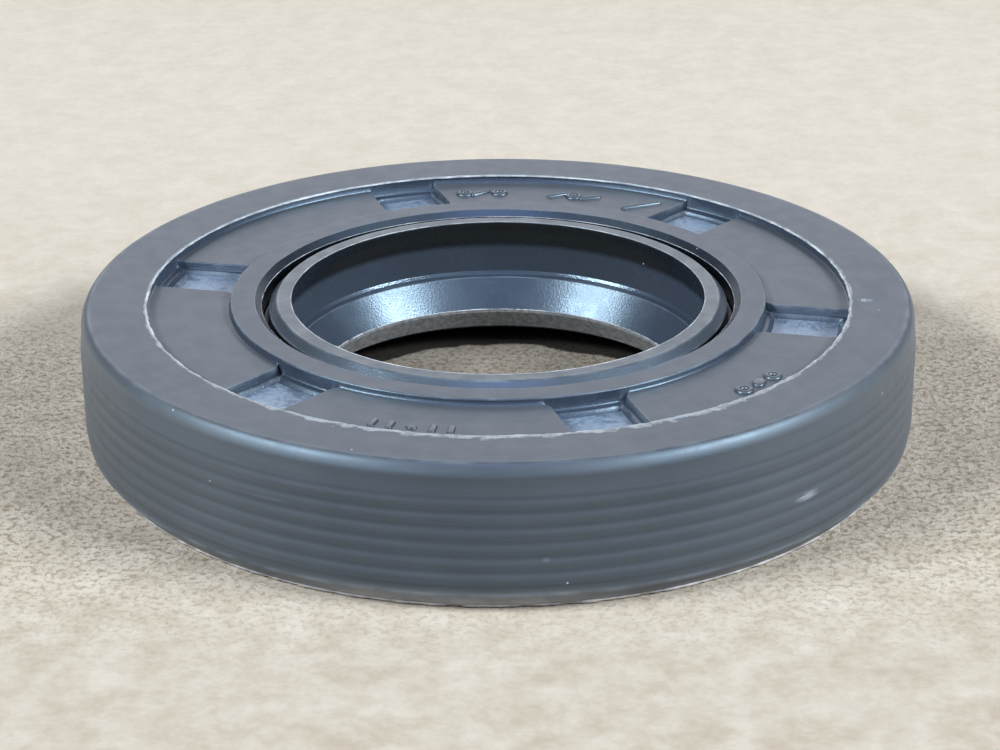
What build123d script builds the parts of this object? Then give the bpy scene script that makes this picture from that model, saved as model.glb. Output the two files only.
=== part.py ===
from build123d import *

import os
from math import cos, radians, sin

# Radial shaft seal for a 20 mm shaft in a 40 mm bore, 7 mm wide: one moulded rubber body round a pressed
# steel case, with a main lip, a dust lip and a garter spring.
# Millimetres. Z is the shaft axis. Z = 0 is the heel on the oil side, and the air side faces up.
# Sections are drawn as (radius, height) in the XZ plane and turned about Z.

# Driving sizes
shaft_diameter = 20.0
housing_diameter = 40.0
seal_width = 7.0

# Outside: a plain land with ribs that stand proud of it for the press fit
press_allowance = 0.1  # on the radius, at the rib crests
rib_count = 6
rib_pitch = 0.7
lowest_rib_height = 1.7
lead_in_depth = 0.75
lead_in_length = 0.85
heel_round = 0.3
corner_edge = 0.22  # a tight turn where the air face ends
corner_sweep = 0.84  # then a wide one down to the land
corner_turn = 45  # degrees that the tight turn takes

# Steel case: an L-section ring with its flange on the air side
outer_cover = 1.0
steel_thickness = 0.8
bend_radius = 0.25
case_foot_height = 0.75

# Rubber round the case
pad_cover = 0.6
under_cover = 0.3
bore_cover = 0.4
nose_cover = 0.95
heel_chamfer = 0.2

# Air side face
rim_width = 3.07
pad_depth = 0.43
ring_depth = 0.1
ring_width = 1.18
ring_chamfer = (0.32, 0.3)

# Locating pockets, which reach the flange between the raised ring and the rim
pocket_count = 6
first_pocket_angle = 47.7
pocket_width = 3.5
pad_corner_radius = 0.6
pocket_step_depth = 0.37
step_inner = 0.4
step_outer = 0.5
step_side = 0.25

# Dust lip, cut free from the raised ring by a narrow gap
dust_lip_interference = 0.04
dust_lip_depth = 0.17
dust_lip_face = 0.7
dust_lip_hollow = 0.08
shoulder_drop = 0.38
gap_width = 0.35
gap_depth = 1.4
gap_radial_offset = 1.05
dust_root_depth = 1.55

# Main lip and the membrane that carries it
lip_interference = 1.0
lip_edge_height = 2.2
lip_land = 0.15
cone_height = 1.45
flex_step = (0.34, 0.2)
flex_round = 0.18
membrane_offset = 0.36
membrane_thickness = 0.9
membrane_round = 0.5
oil_face = (0.6, 1.0)
nose_chamfer = (0.2, 0.15)
shoulder_slope = 0.2

# Garter spring
coil_radius = 0.85
seat_clearance = 0.02
lip_back_thickness = 1.65
spring_offset = 0.45
seat_mouth = 1.3
hook_overhang = 0.65
shoulder_overhang = 0.3
head_wall = 0.3

# Radii and heights that follow from them
shaft_radius = shaft_diameter / 2
land_radius = housing_diameter / 2
crest_radius = land_radius + press_allowance
case_outer_radius = land_radius - outer_cover
case_inner_radius = case_outer_radius - steel_thickness
lining_radius = case_inner_radius - bore_cover
rim_inner_radius = land_radius - rim_width

gap_inner_radius = shaft_radius + gap_radial_offset
gap_outer_radius = gap_inner_radius + gap_width
ring_inner_radius = gap_outer_radius + ring_chamfer[0]
ring_outer_radius = ring_inner_radius + ring_width
flange_inner_radius = gap_outer_radius + nose_cover

# Both turns of the outer corner meet on one normal, so the corner is smooth
corner_run = (corner_sweep - corner_edge) * sin(radians(corner_turn))
corner_fall = (corner_sweep - corner_edge) * cos(radians(corner_turn))
edge_centre = (land_radius - corner_sweep + corner_run, seal_width - corner_edge)
sweep_centre = (land_radius - corner_sweep, edge_centre[1] - corner_fall)

pocket_radius = (ring_outer_radius + rim_inner_radius) / 2
pocket_length = 2 * (rim_inner_radius - ring_outer_radius)

pad_height = seal_width - pad_depth
ring_height = seal_width - ring_depth
case_top = pad_height - pad_cover
flange_underside = case_top - steel_thickness
ceiling = flange_underside - under_cover
gap_floor = seal_width - gap_depth

dust_lip_radius = shaft_radius - dust_lip_interference
dust_lip_height = seal_width - dust_lip_depth
dust_root_height = seal_width - dust_root_depth
membrane_radius = shaft_radius + membrane_offset
membrane_outer_radius = membrane_radius + membrane_thickness

lip_radius = shaft_radius - lip_interference
land_top = lip_edge_height + lip_land
cone_top = land_top + cone_height
cone_radius = membrane_radius - flex_step[0]
oil_face_radius = lip_radius + oil_face[0]
oil_face_bottom = lip_edge_height - oil_face[1]
head_bottom = oil_face_bottom - nose_chamfer[1]

seat_radius = coil_radius + seat_clearance
spring_ring_radius = lip_radius + lip_back_thickness + seat_radius
spring_height = lip_edge_height + lip_land / 2 + spring_offset
hook_radius = spring_ring_radius + hook_overhang
shoulder_radius = spring_ring_radius + shoulder_overhang
head_top = spring_height + seat_radius + head_wall

# Case section, shared by the steel ring and by the hollow that holds it
with BuildSketch(Plane.XZ) as case_section:
    with BuildLine():
        Polyline(
            (case_outer_radius, case_foot_height),
            (case_outer_radius, case_top),
            (flange_inner_radius, case_top),
            (flange_inner_radius, flange_underside),
            (case_inner_radius, flange_underside),
            (case_inner_radius, case_foot_height),
            close=True,
        )
    make_face()
    outer_bend = vertices().sort_by_distance((case_outer_radius, case_top))[0]
    fillet(outer_bend, bend_radius + steel_thickness)
    inner_bend = vertices().sort_by_distance((case_inner_radius, flange_underside))[0]
    fillet(inner_bend, bend_radius)

# Rubber section: four outlines that run into one another
with BuildSketch(Plane.XZ) as body_section:
    # Outer wall, rim, pads and raised ring
    with BuildLine():
        Polyline(
            (lining_radius, ceiling),
            (lining_radius, heel_chamfer),
            (lining_radius + heel_chamfer, 0),
            (land_radius - lead_in_depth, 0),
            (land_radius, lead_in_length),
            (land_radius, sweep_centre[1]),
        )
        CenterArc(sweep_centre, corner_sweep, 0, 90 - corner_turn)
        CenterArc(edge_centre, corner_edge, 90 - corner_turn, corner_turn)
        Polyline(
            (edge_centre[0], seal_width),
            (rim_inner_radius, seal_width),
            (rim_inner_radius, pad_height),
            (ring_outer_radius, pad_height),
            (ring_outer_radius, ring_height),
            (ring_inner_radius, ring_height),
            (gap_outer_radius, ring_height - ring_chamfer[1]),
            (gap_outer_radius, gap_floor),
            (membrane_radius, gap_floor),
            (membrane_radius, ceiling - membrane_round),
            (membrane_outer_radius, ceiling - membrane_round),
        )
        CenterArc(
            (membrane_outer_radius + membrane_round, ceiling - membrane_round), membrane_round, 90, 90
        )
        Line((membrane_outer_radius + membrane_round, ceiling), (lining_radius, ceiling))
    make_face()
    heel_edge = vertices().sort_by_distance((land_radius - lead_in_depth, 0))[0]
    fillet(heel_edge, heel_round)

    # Ribs: each is a low crest between two valleys on the land
    for rib in range(rib_count):
        crest = lowest_rib_height + rib * rib_pitch
        with BuildLine():
            Polyline(
                (land_radius - press_allowance, crest - rib_pitch / 2),
                (land_radius, crest - rib_pitch / 2),
                (crest_radius, crest),
                (land_radius, crest + rib_pitch / 2),
                (land_radius - press_allowance, crest + rib_pitch / 2),
                close=True,
            )
        make_face()

    # Dust lip, membrane and main lip
    with BuildLine():
        Polyline(
            (gap_inner_radius, gap_floor),
            (gap_inner_radius, dust_lip_height - shoulder_drop),
            (dust_lip_radius + dust_lip_face, dust_lip_height),
            (dust_lip_radius, dust_lip_height),
        )
        ThreePointArc(
            (dust_lip_radius, dust_lip_height),
            (
                (dust_lip_radius + membrane_radius) / 2 + dust_lip_hollow,
                (dust_lip_height + dust_root_height) / 2,
            ),
            (membrane_radius, dust_root_height),
        )
        Polyline(
            (membrane_radius, dust_root_height),
            (membrane_radius, cone_top + flex_step[1]),
            (cone_radius, cone_top),
            (lip_radius, land_top),
            (lip_radius, lip_edge_height),
            (oil_face_radius, oil_face_bottom),
            (oil_face_radius + nose_chamfer[0], head_bottom),
            (hook_radius, head_bottom),
            (hook_radius, spring_height),
            (shoulder_radius, spring_height),
            (shoulder_radius, head_top - shoulder_slope),
            (membrane_outer_radius, head_top),
            (membrane_outer_radius, gap_floor),
            (gap_inner_radius, gap_floor),
        )
    make_face()
    flex_corner = vertices().sort_by_distance((membrane_radius, cone_top + flex_step[1]))[0]
    fillet(flex_corner, flex_round)

    # Spring seat, with a mouth that is narrower than the spring
    with Locations((spring_ring_radius, spring_height)):
        Circle(seat_radius, mode=Mode.SUBTRACT)
        Rectangle(
            2 * seat_radius, seat_mouth, align=(Align.MIN, Align.CENTER), mode=Mode.SUBTRACT
        )

# Pads between the pockets, with their inner corners rounded
with BuildSketch() as pad_plan:
    Circle(rim_inner_radius)
    Circle(ring_outer_radius, mode=Mode.SUBTRACT)
    with PolarLocations(pocket_radius, pocket_count, first_pocket_angle):
        Rectangle(pocket_length, pocket_width, mode=Mode.SUBTRACT)
    fillet(vertices().group_by(SortBy.DISTANCE)[0], pad_corner_radius)

# Pockets are what the pads leave of the recess
with BuildSketch(Plane.XY.offset(pad_height - pocket_step_depth)) as pocket_plan:
    Circle(rim_inner_radius)
    Circle(ring_outer_radius, mode=Mode.SUBTRACT)
    add(pad_plan.sketch_local, mode=Mode.SUBTRACT)

# Each pocket steps in before it reaches the steel
with BuildSketch(Plane.XY.offset(case_top)) as step_plan:
    with PolarLocations(pocket_radius, pocket_count, first_pocket_angle):
        Rectangle(pocket_length, pocket_width - 2 * step_side)
    Circle(rim_inner_radius - step_outer, mode=Mode.INTERSECT)
    Circle(ring_outer_radius + step_inner, mode=Mode.SUBTRACT)

# Rubber body
with BuildPart() as rubber_body:
    revolve(body_section.sketch, axis=Axis.Z)
    extrude(pocket_plan.sketch, amount=pad_depth + pocket_step_depth, mode=Mode.SUBTRACT)
    extrude(step_plan.sketch, amount=seal_width - case_top, mode=Mode.SUBTRACT)
    revolve(case_section.sketch, axis=Axis.Z, mode=Mode.SUBTRACT)
rubber_body.part.label = "rubber_body"

# Steel case
with BuildPart() as steel_case:
    revolve(case_section.sketch, axis=Axis.Z)
steel_case.part.label = "steel_case"

# Garter spring, as the ring that its closed coils fill
with BuildPart() as garter_spring:
    with BuildSketch(Plane.XZ):
        with Locations((spring_ring_radius, spring_height)):
            Circle(coil_radius)
    revolve(axis=Axis.Z)
garter_spring.part.label = "garter_spring"

os.makedirs("parts", exist_ok=True)
export_step(rubber_body.part, "parts/rubber_body.step")
export_step(steel_case.part, "parts/steel_case.step")
export_step(garter_spring.part, "parts/garter_spring.step")
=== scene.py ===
"""Radial shaft seal for a 20 mm shaft in a 40 mm bore: its rubber body, steel ring and spring, dressed.

Sizes inside the classes are millimetres, and become metres where a mesh, a lamp or the camera is made.
The shaft's axis is Z, the heel on the oil side is at height 0, and the air side faces up.
A section is drawn as (radius, height), anticlockwise round the material, and turned about Z.
"""

import logging
import math
from dataclasses import dataclass, field
from enum import Enum
from functools import cache, reduce
from typing import Iterable, Sequence

import bpy
import numpy as np
from mathutils import Matrix, Vector, noise


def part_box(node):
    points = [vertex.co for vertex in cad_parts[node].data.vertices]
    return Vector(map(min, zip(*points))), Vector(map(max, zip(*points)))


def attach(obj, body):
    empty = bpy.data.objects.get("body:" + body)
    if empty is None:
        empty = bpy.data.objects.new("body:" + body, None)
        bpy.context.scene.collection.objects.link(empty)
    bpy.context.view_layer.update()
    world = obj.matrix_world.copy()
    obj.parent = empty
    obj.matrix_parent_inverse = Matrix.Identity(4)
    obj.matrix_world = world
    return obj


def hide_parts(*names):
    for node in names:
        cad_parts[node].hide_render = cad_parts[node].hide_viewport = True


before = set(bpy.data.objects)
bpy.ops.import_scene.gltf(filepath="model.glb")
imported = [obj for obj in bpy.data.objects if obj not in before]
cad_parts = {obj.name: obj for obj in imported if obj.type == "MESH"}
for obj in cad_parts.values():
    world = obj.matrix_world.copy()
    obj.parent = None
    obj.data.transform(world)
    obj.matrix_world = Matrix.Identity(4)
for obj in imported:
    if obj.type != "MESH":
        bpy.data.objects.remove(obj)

Socket = bpy.types.NodeSocket
Colour = tuple[int, int, int]
Light = tuple[float, float, float]
Span = tuple[float | None, float | None]

MM = 0.001
UP = (0.0, 0.0, 1.0)
BODY = "root"
EDGE = "edge"
SOCKET_KINDS = {"VALUE": "Float", "VECTOR": "Vector", "GEOMETRY": "Geometry"}
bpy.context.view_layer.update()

log = logging.getLogger("shaft_seal")


class Slot(Enum):
    """The record's material slots."""

    RUBBER = "rubber"
    CASE = "case_steel"
    SPRING = "spring_steel"


class Mark(Enum):
    """The plain raised marks that the mould leaves on the air side."""

    PIP = "pip"
    BAR = "bar"
    RING = "ring"


def linear(colour: Sequence[int]) -> tuple[float, float, float, float]:
    """Turns a colour as a screen shows it into the value that a shader takes.

    Args:
        colour: Red, green and blue from 0 to 255.

    Returns:
        Linear red, green, blue and an alpha of 1.
    """
    shares = [part / 255 for part in colour]
    parts = [s / 12.92 if s <= 0.04045 else ((s + 0.055) / 1.055) ** 2.4 for s in shares]
    return (*parts, 1.0)


def polar(radius: float, degrees: float, height: float) -> tuple[float, float, float]:
    """Gives the point at a radius and a height, at an angle from +X towards +Y."""
    angle = math.radians(degrees)
    return radius * math.cos(angle), radius * math.sin(angle), height


# Sizes and sections


@dataclass(frozen=True)
class SealSizes:
    """The seal's sizes in mm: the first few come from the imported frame, and the rest are driving sizes."""

    crest_radius: float
    width: float
    case_radius: float
    case_foot: float
    case_top: float
    spring_radius: float
    spring_height: float
    coil_radius: float

    # Outside
    press_allowance: float = 0.1
    rib_count: int = 6
    rib_pitch: float = 0.7
    lowest_rib: float = 1.7
    rib_depth: float = 0.029
    lead_in_depth: float = 0.75
    lead_in_length: float = 0.85
    lead_in_round: float = 0.2
    heel_round: float = 0.3
    corner_edge: float = 0.22
    corner_sweep: float = 0.84

    # Case and what covers it
    steel: float = 0.8
    bend_radius: float = 0.25
    lining: float = 0.4
    under_cover: float = 0.3
    heel_chamfer: float = 0.2

    # Air side
    rim_width: float = 3.07
    pad_depth: float = 0.43
    ring_depth: float = 0.1
    ring_width: float = 1.18
    ring_round: float = 0.06
    ring_chamfer: tuple[float, float] = (0.32, 0.3)
    nose_cover: float = 0.95
    crisp: float = 0.035

    # Lips
    dust_lip: tuple[float, float] = (9.96, 0.17)
    dust_face: float = 0.7
    dust_hollow: float = 0.08
    dust_rounds: tuple[float, float, float] = (0.09, 0.12, 0.03)
    shoulder_drop: float = 0.38
    gap_inner: float = 11.05
    gap_width: float = 0.35
    gap_depth: float = 1.4
    gap_round: float = 0.1
    dust_root: float = 5.45
    membrane_inner: float = 10.36
    membrane_outer: float = 11.26
    membrane_round: float = 0.5
    lining_round: float = 0.2
    flex_step: tuple[float, float] = (0.34, 0.2)
    flex_facet: tuple[float, float] = (0.11, 0.15)
    flex_round: float = 0.04
    ledge_fall: float = 0.07
    ledge_extra: float = 0.04
    cone_top: float = 3.8
    lip_radius: float = 9.0
    lip_edge: float = 2.2
    lip_land: float = 0.15
    lip_round: float = 0.012
    oil_face: tuple[float, float] = (0.6, 1.0)
    nose_chamfer: tuple[float, float] = (0.2, 0.15)
    nose_round: float = 0.06
    soft: float = 0.05

    # Spring seat
    seat_clearance: float = 0.02
    seat_mouth: float = 1.3
    mouth_round: float = 0.02
    hook: float = 0.65
    hook_round: float = 0.12
    shoulder: float = 0.3
    head_wall: float = 0.3
    shoulder_slope: float = 0.2

    @classmethod
    def from_frame(cls) -> "SealSizes":
        """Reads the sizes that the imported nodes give.

        Returns:
            The sizes.
        """
        _, body_high = (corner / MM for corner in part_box("rubber_body"))
        case_low, case_high = (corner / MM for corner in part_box("steel_case"))
        coil_low, coil_high = (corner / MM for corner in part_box("garter_spring"))
        coil_radius = (coil_high.z - coil_low.z) / 2
        return cls(
            crest_radius=body_high.x,
            width=body_high.z,
            case_radius=case_high.x,
            case_foot=case_low.z,
            case_top=case_high.z,
            spring_radius=coil_high.x - coil_radius,
            spring_height=(coil_high.z + coil_low.z) / 2,
            coil_radius=coil_radius,
        )

    @property
    def land(self) -> float:
        """The outside radius between the ribs."""
        return self.crest_radius - self.press_allowance

    @property
    def corner_height(self) -> float:
        """The height at which the outer corner starts to turn in from the land."""
        return self.width - self.corner_edge * (1 - math.sqrt(0.5)) - self.corner_sweep * math.sqrt(0.5)

    @property
    def rim_inner(self) -> float:
        """The radius of the rim's inner wall."""
        return self.land - self.rim_width

    @property
    def pad_height(self) -> float:
        """The height of the pads between the pockets."""
        return self.width - self.pad_depth

    @property
    def gap_outer(self) -> float:
        """The outer radius of the gap round the dust lip."""
        return self.gap_inner + self.gap_width

    @property
    def gap_floor(self) -> float:
        """The height of the gap's floor."""
        return self.width - self.gap_depth

    @property
    def ring_top(self) -> float:
        """The height of the raised ring."""
        return self.width - self.ring_depth

    @property
    def ring_foot(self) -> float:
        """The height at which the raised ring's inner chamfer ends."""
        return self.ring_top - self.ring_chamfer[1]

    @property
    def ring_inner(self) -> float:
        """The inner radius of the raised ring's top."""
        return self.gap_outer + self.ring_chamfer[0]

    @property
    def ring_outer(self) -> float:
        """The outer radius of the raised ring."""
        return self.ring_inner + self.ring_width

    @property
    def dust_tip(self) -> float:
        """The height of the dust lip's face."""
        return self.width - self.dust_lip[1]

    @property
    def lip_land_top(self) -> float:
        """The height of the upper edge of the main lip's land."""
        return self.lip_edge + self.lip_land

    @property
    def flex_top(self) -> float:
        """The height at which the membrane's inside steps in to the cone."""
        return self.cone_top + self.flex_step[1]

    @property
    def ceiling(self) -> float:
        """The height of the roof over the oil groove."""
        return self.case_top - self.steel - self.under_cover

    @property
    def lining_radius(self) -> float:
        """The radius of the rubber that lines the case's inside."""
        return self.case_radius - self.steel - self.lining

    @property
    def seat_radius(self) -> float:
        """The radius of the seat round the spring."""
        return self.coil_radius + self.seat_clearance


@dataclass(frozen=True)
class Corner:
    """A corner of a section, with the radius that rounds it."""

    radius: float
    height: float
    round: float = 0.0

    @property
    def point(self) -> np.ndarray:
        """The corner as an array."""
        return np.array([self.radius, self.height])


@dataclass
class Path:
    """Points along a section, with a mark on those that lie on a convex edge."""

    points: np.ndarray
    edge: np.ndarray

    @classmethod
    def plain(cls, points: Iterable[Sequence[float]], edge: float = 0.0) -> "Path":
        """Makes a path.

        Args:
            points: The points as (radius, height).
            edge: The edge mark of them all.

        Returns:
            The path.
        """
        array = np.array(list(points), float).reshape(-1, 2)
        return cls(array, np.full(len(array), edge))

    @classmethod
    def rounded(cls, *corners: Corner, steps: int = 3) -> "Path":
        """Joins corners with straight lines and rounds them.

        A guard point stands a little way along each straight, so that smooth shading keeps the flats flat.

        Args:
            *corners: The corners in order, the first and last left sharp.
            steps: Straight pieces in each round.

        Returns:
            The path.
        """
        path = cls.plain([corners[0].point])
        for before, corner, after in zip(corners, corners[1:], corners[2:]):
            if corner.round == 0:
                path += cls.plain([corner.point])
                continue
            back, ahead = before.point - corner.point, after.point - corner.point
            room = min(np.linalg.norm(back), np.linalg.norm(ahead))
            back, ahead = back / np.linalg.norm(back), ahead / np.linalg.norm(ahead)
            half = math.acos(np.clip(back @ ahead, -1, 1)) / 2
            tangent = corner.round / math.tan(half)
            guard = min(tangent + 0.6 * corner.round, 0.5 * (tangent + room))
            bisector = (back + ahead) / np.linalg.norm(back + ahead)
            centre = corner.point + bisector * corner.round / math.sin(half)
            first = corner.point + back * tangent - centre
            last = corner.point + ahead * tangent - centre
            turn = math.pi - 2 * half
            turns = np.linspace(0, turn, steps + 1)[:, None]
            arc = centre + (np.sin(turn - turns) * first + np.sin(turns) * last) / math.sin(turn)
            convex = back[0] * ahead[1] - back[1] * ahead[0] < 0
            path += cls.plain([corner.point + back * guard])
            path += cls.plain(arc, float(convex))
            path += cls.plain([corner.point + ahead * guard])
        return path + cls.plain([corners[-1].point])

    @classmethod
    def arc(cls, centre: Sequence[float], radius: float, start: float, end: float, steps: int) -> "Path":
        """Makes an arc.

        Args:
            centre: Its centre as (radius, height).
            radius: Its radius.
            start: Its first angle in degrees, from +radius towards +height.
            end: Its last angle.
            steps: Straight pieces in it.

        Returns:
            The path.
        """
        turns = np.radians(np.linspace(start, end, steps + 1))
        return cls.plain(np.array(centre) + radius * np.column_stack([np.cos(turns), np.sin(turns)]))

    def __add__(self, other: "Path") -> "Path":
        """Runs one path on into the next."""
        return Path(np.vstack([self.points, other.points]), np.concatenate([self.edge, other.edge]))

    def __getitem__(self, part: slice) -> "Path":
        """Takes a stretch of the path."""
        return Path(self.points[part], self.edge[part])

    def __len__(self) -> int:
        """Counts the points."""
        return len(self.points)


@dataclass(frozen=True)
class BodySection:
    """The rubber's section, in the stretches that the lattice needs."""

    sizes: SealSizes

    def heel(self, wall: float = 0.9, land: float = 0.3) -> Path:
        """Draws the lining, the heel and the lead-in.

        Args:
            wall: How far below the groove's roof it starts.
            land: How far up the land it ends.

        Returns:
            The path up to the lowest rib.
        """
        s = self.sizes
        return Path.rounded(
            Corner(s.lining_radius, s.ceiling - wall),
            Corner(s.lining_radius, s.heel_chamfer, s.soft),
            Corner(s.lining_radius + s.heel_chamfer, 0, s.soft),
            Corner(s.land - s.lead_in_depth, 0, s.heel_round),
            Corner(s.land, s.lead_in_length, s.lead_in_round),
            Corner(s.land, s.lead_in_length + land),
        )

    def ribs(self, steps: int = 8) -> Path:
        """Draws the soft waves of the ribs.

        Args:
            steps: Points in each rib.

        Returns:
            The path from the lowest rib's foot to the highest one's.
        """
        s = self.sizes
        turns = np.arange(s.rib_count * steps + 1) / steps
        waves = (1 - np.cos(2 * math.pi * turns)) / 2
        heights = s.lowest_rib + (turns - 0.5) * s.rib_pitch
        return Path.plain(np.column_stack([s.crest_radius - s.rib_depth * (1 - waves), heights]))

    def rim(self, land: float = 0.2, near: float = 0.15, far: float = 0.7, wear: float = 0.6) -> Path:
        """Draws the plain land, the outer corner and the rim's top.

        Args:
            land: How far below the corner it starts.
            near: How far inside the corner a first point holds the top flat.
            far: How far inside the corner a second point does.
            wear: The edge mark of the corner's tight turn, which sets its painted edge highlight.

        Returns:
            The path as far as the rim's inner wall.
        """
        s = self.sizes
        low = np.array([s.land - s.corner_sweep, s.corner_height])
        high = low + (s.corner_sweep - s.corner_edge) * math.sqrt(0.5)
        sweep = Path.arc(low, s.corner_sweep, 0, 45, 8)
        edge = Path.arc(high, s.corner_edge, 45, 90, 4)[1:]
        # The corner's tight turn gets a painted edge highlight.
        edge.edge[:] = wear
        top = Path.rounded(
            Corner(high[0] - far, s.width),
            Corner(s.rim_inner, s.width, s.crisp),
            Corner(s.rim_inner, s.pad_height),
        )[:-1]
        foot = Path.plain([(s.land, s.corner_height - land)])
        return foot + sweep + edge + Path.plain([(high[0] - near, s.width)]) + top

    def ring(self) -> Path:
        """Draws the raised ring from its outer wall inwards, and half the gap inside it.

        Returns:
            The path.
        """
        s = self.sizes
        return Path.rounded(
            Corner(s.ring_outer, s.pad_height),
            Corner(s.ring_outer, s.ring_top, s.ring_round),
            Corner((s.ring_outer + s.ring_inner) / 2, s.ring_top),
            Corner(s.ring_inner, s.ring_top, s.crisp),
            Corner(s.gap_outer, s.ring_foot, s.crisp),
            Corner(s.gap_outer, s.gap_floor, s.gap_round),
            Corner((s.gap_outer + s.gap_inner) / 2, s.gap_floor),
        )[1:]

    def dust_lip(self, undercut: tuple[float, float] = (0.03, 0.12), steps: int = 10) -> Path:
        """Draws the dust lip from the gap's floor over its tip and down its hollow back.

        Args:
            undercut: How far back and down the tip's short underside reaches.
            steps: Straight pieces in the hollow back.

        Returns:
            The path.
        """
        s = self.sizes
        tip = s.dust_lip[0]
        front = Path.rounded(
            Corner((s.gap_outer + s.gap_inner) / 2, s.gap_floor),
            Corner(s.gap_inner, s.gap_floor, s.gap_round),
            Corner(s.gap_inner, s.dust_tip - s.shoulder_drop, s.dust_rounds[0]),
            Corner(tip + s.dust_face, s.dust_tip, s.dust_rounds[1]),
            Corner(tip, s.dust_tip, s.dust_rounds[2]),
            Corner(tip + undercut[0], s.dust_tip - undercut[1]),
        )
        shares = np.linspace(0, 1, steps + 1)[1:, None]
        start = front.points[-1]
        run = start + (np.array([s.membrane_inner, s.dust_root]) - start) * shares
        run[:, :1] += s.dust_hollow * np.sin(math.pi * shares)
        return front[1:] + Path.plain(run)

    def main_lip(self, start: float = 0.05) -> Path:
        """Draws the membrane's inside, the cone, the sealing edge, the oil face and the head's underside.

        Args:
            start: How far below the dust lip's root it starts.

        Returns:
            The path as far as the spring seat's mouth.
        """
        s = self.sizes
        nose = (s.lip_radius + s.oil_face[0], s.lip_edge - s.oil_face[1])
        bottom = nose[1] - s.nose_chamfer[1]
        hook = s.spring_radius + s.hook
        mouth = s.spring_height - s.seat_mouth / 2
        facet_foot = (s.membrane_inner - s.flex_facet[0], s.flex_top - s.flex_facet[1])
        ledge = (s.membrane_inner - s.flex_step[0] - s.ledge_extra, facet_foot[1] - s.ledge_fall)
        return Path.rounded(
            Corner(s.membrane_inner, s.dust_root - start),
            Corner(s.membrane_inner, s.flex_top, s.soft),
            Corner(*facet_foot, s.flex_round),
            Corner(*ledge, s.soft),
            Corner(s.lip_radius, s.lip_land_top, s.lip_round),
            Corner(s.lip_radius, s.lip_edge, s.lip_round),
            Corner(*nose, s.nose_round),
            Corner(nose[0] + s.nose_chamfer[0], bottom, s.nose_round),
            Corner(hook, bottom, s.hook_round),
            Corner(hook, mouth, s.mouth_round),
            Corner(hook - 2 * s.mouth_round, mouth),
        )

    def seat(self, steps: int = 22) -> Path:
        """Draws the round seat that holds the spring.

        Args:
            steps: Straight pieces in it.

        Returns:
            The path from the mouth's lower edge to its upper edge.
        """
        s = self.sizes
        low = -math.degrees(math.asin(s.seat_mouth / 2 / s.seat_radius))
        high = math.degrees(math.acos(s.shoulder / s.seat_radius))
        return Path.arc((s.spring_radius, s.spring_height), s.seat_radius, low, high - 360, steps)

    def back(self) -> Path:
        """Draws the head's shoulder, the membrane's back and the groove's roof.

        Returns:
            The path as far as the lining.
        """
        s = self.sizes
        head = s.spring_height + s.seat_radius + s.head_wall
        shoulder = s.spring_radius + s.shoulder
        centre = (s.membrane_outer + s.membrane_round, s.ceiling - s.membrane_round)
        lower = Path.rounded(
            Corner(shoulder, s.spring_height + 0.9),
            Corner(shoulder, head - s.shoulder_slope, s.soft),
            Corner(s.membrane_outer, head, s.soft),
            Corner(s.membrane_outer, head + 0.2),
        )
        roof = Path.rounded(
            Corner(centre[0] + 0.1, s.ceiling),
            Corner(s.lining_radius, s.ceiling, s.lining_round),
            Corner(s.lining_radius, s.ceiling - 3 * s.lining_round),
        )
        return lower + Path.arc(centre, s.membrane_round, 180, 90, 6) + roof


@dataclass(frozen=True)
class Step:
    """A step down between two levels: a rounded edge, a wall that may lean, and a hollow foot."""

    drop: float
    round: float
    draft: float
    lean: float = 0.0
    foot: float = 0.0
    arcs: int = 3

    def lines(self) -> list[tuple[float, float, float]]:
        """Lists the lines that run along the step, from the high side to the low side.

        Returns:
            The offset towards the low side, the share of the drop and the edge mark of each line.
        """
        listed = [] if self.lean else [(-1.6 * self.round, 0.0, 0.0)]
        for turn in (math.pi / 2 * k / self.arcs for k in range(self.arcs + 1)):
            offset = self.round * (math.sin(turn) - 1) - self.lean
            listed.append((offset, self.round * (1 - math.cos(turn)) / self.drop, 1.0))
        for turn in (0.0, math.pi / 4, math.pi / 2) if self.foot else (math.pi / 2,):
            reach = self.draft + self.foot * (1 - math.cos(turn))
            listed.append((reach, 1 - self.foot * (1 - math.sin(turn)) / self.drop, 0.0))
        return listed


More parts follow.
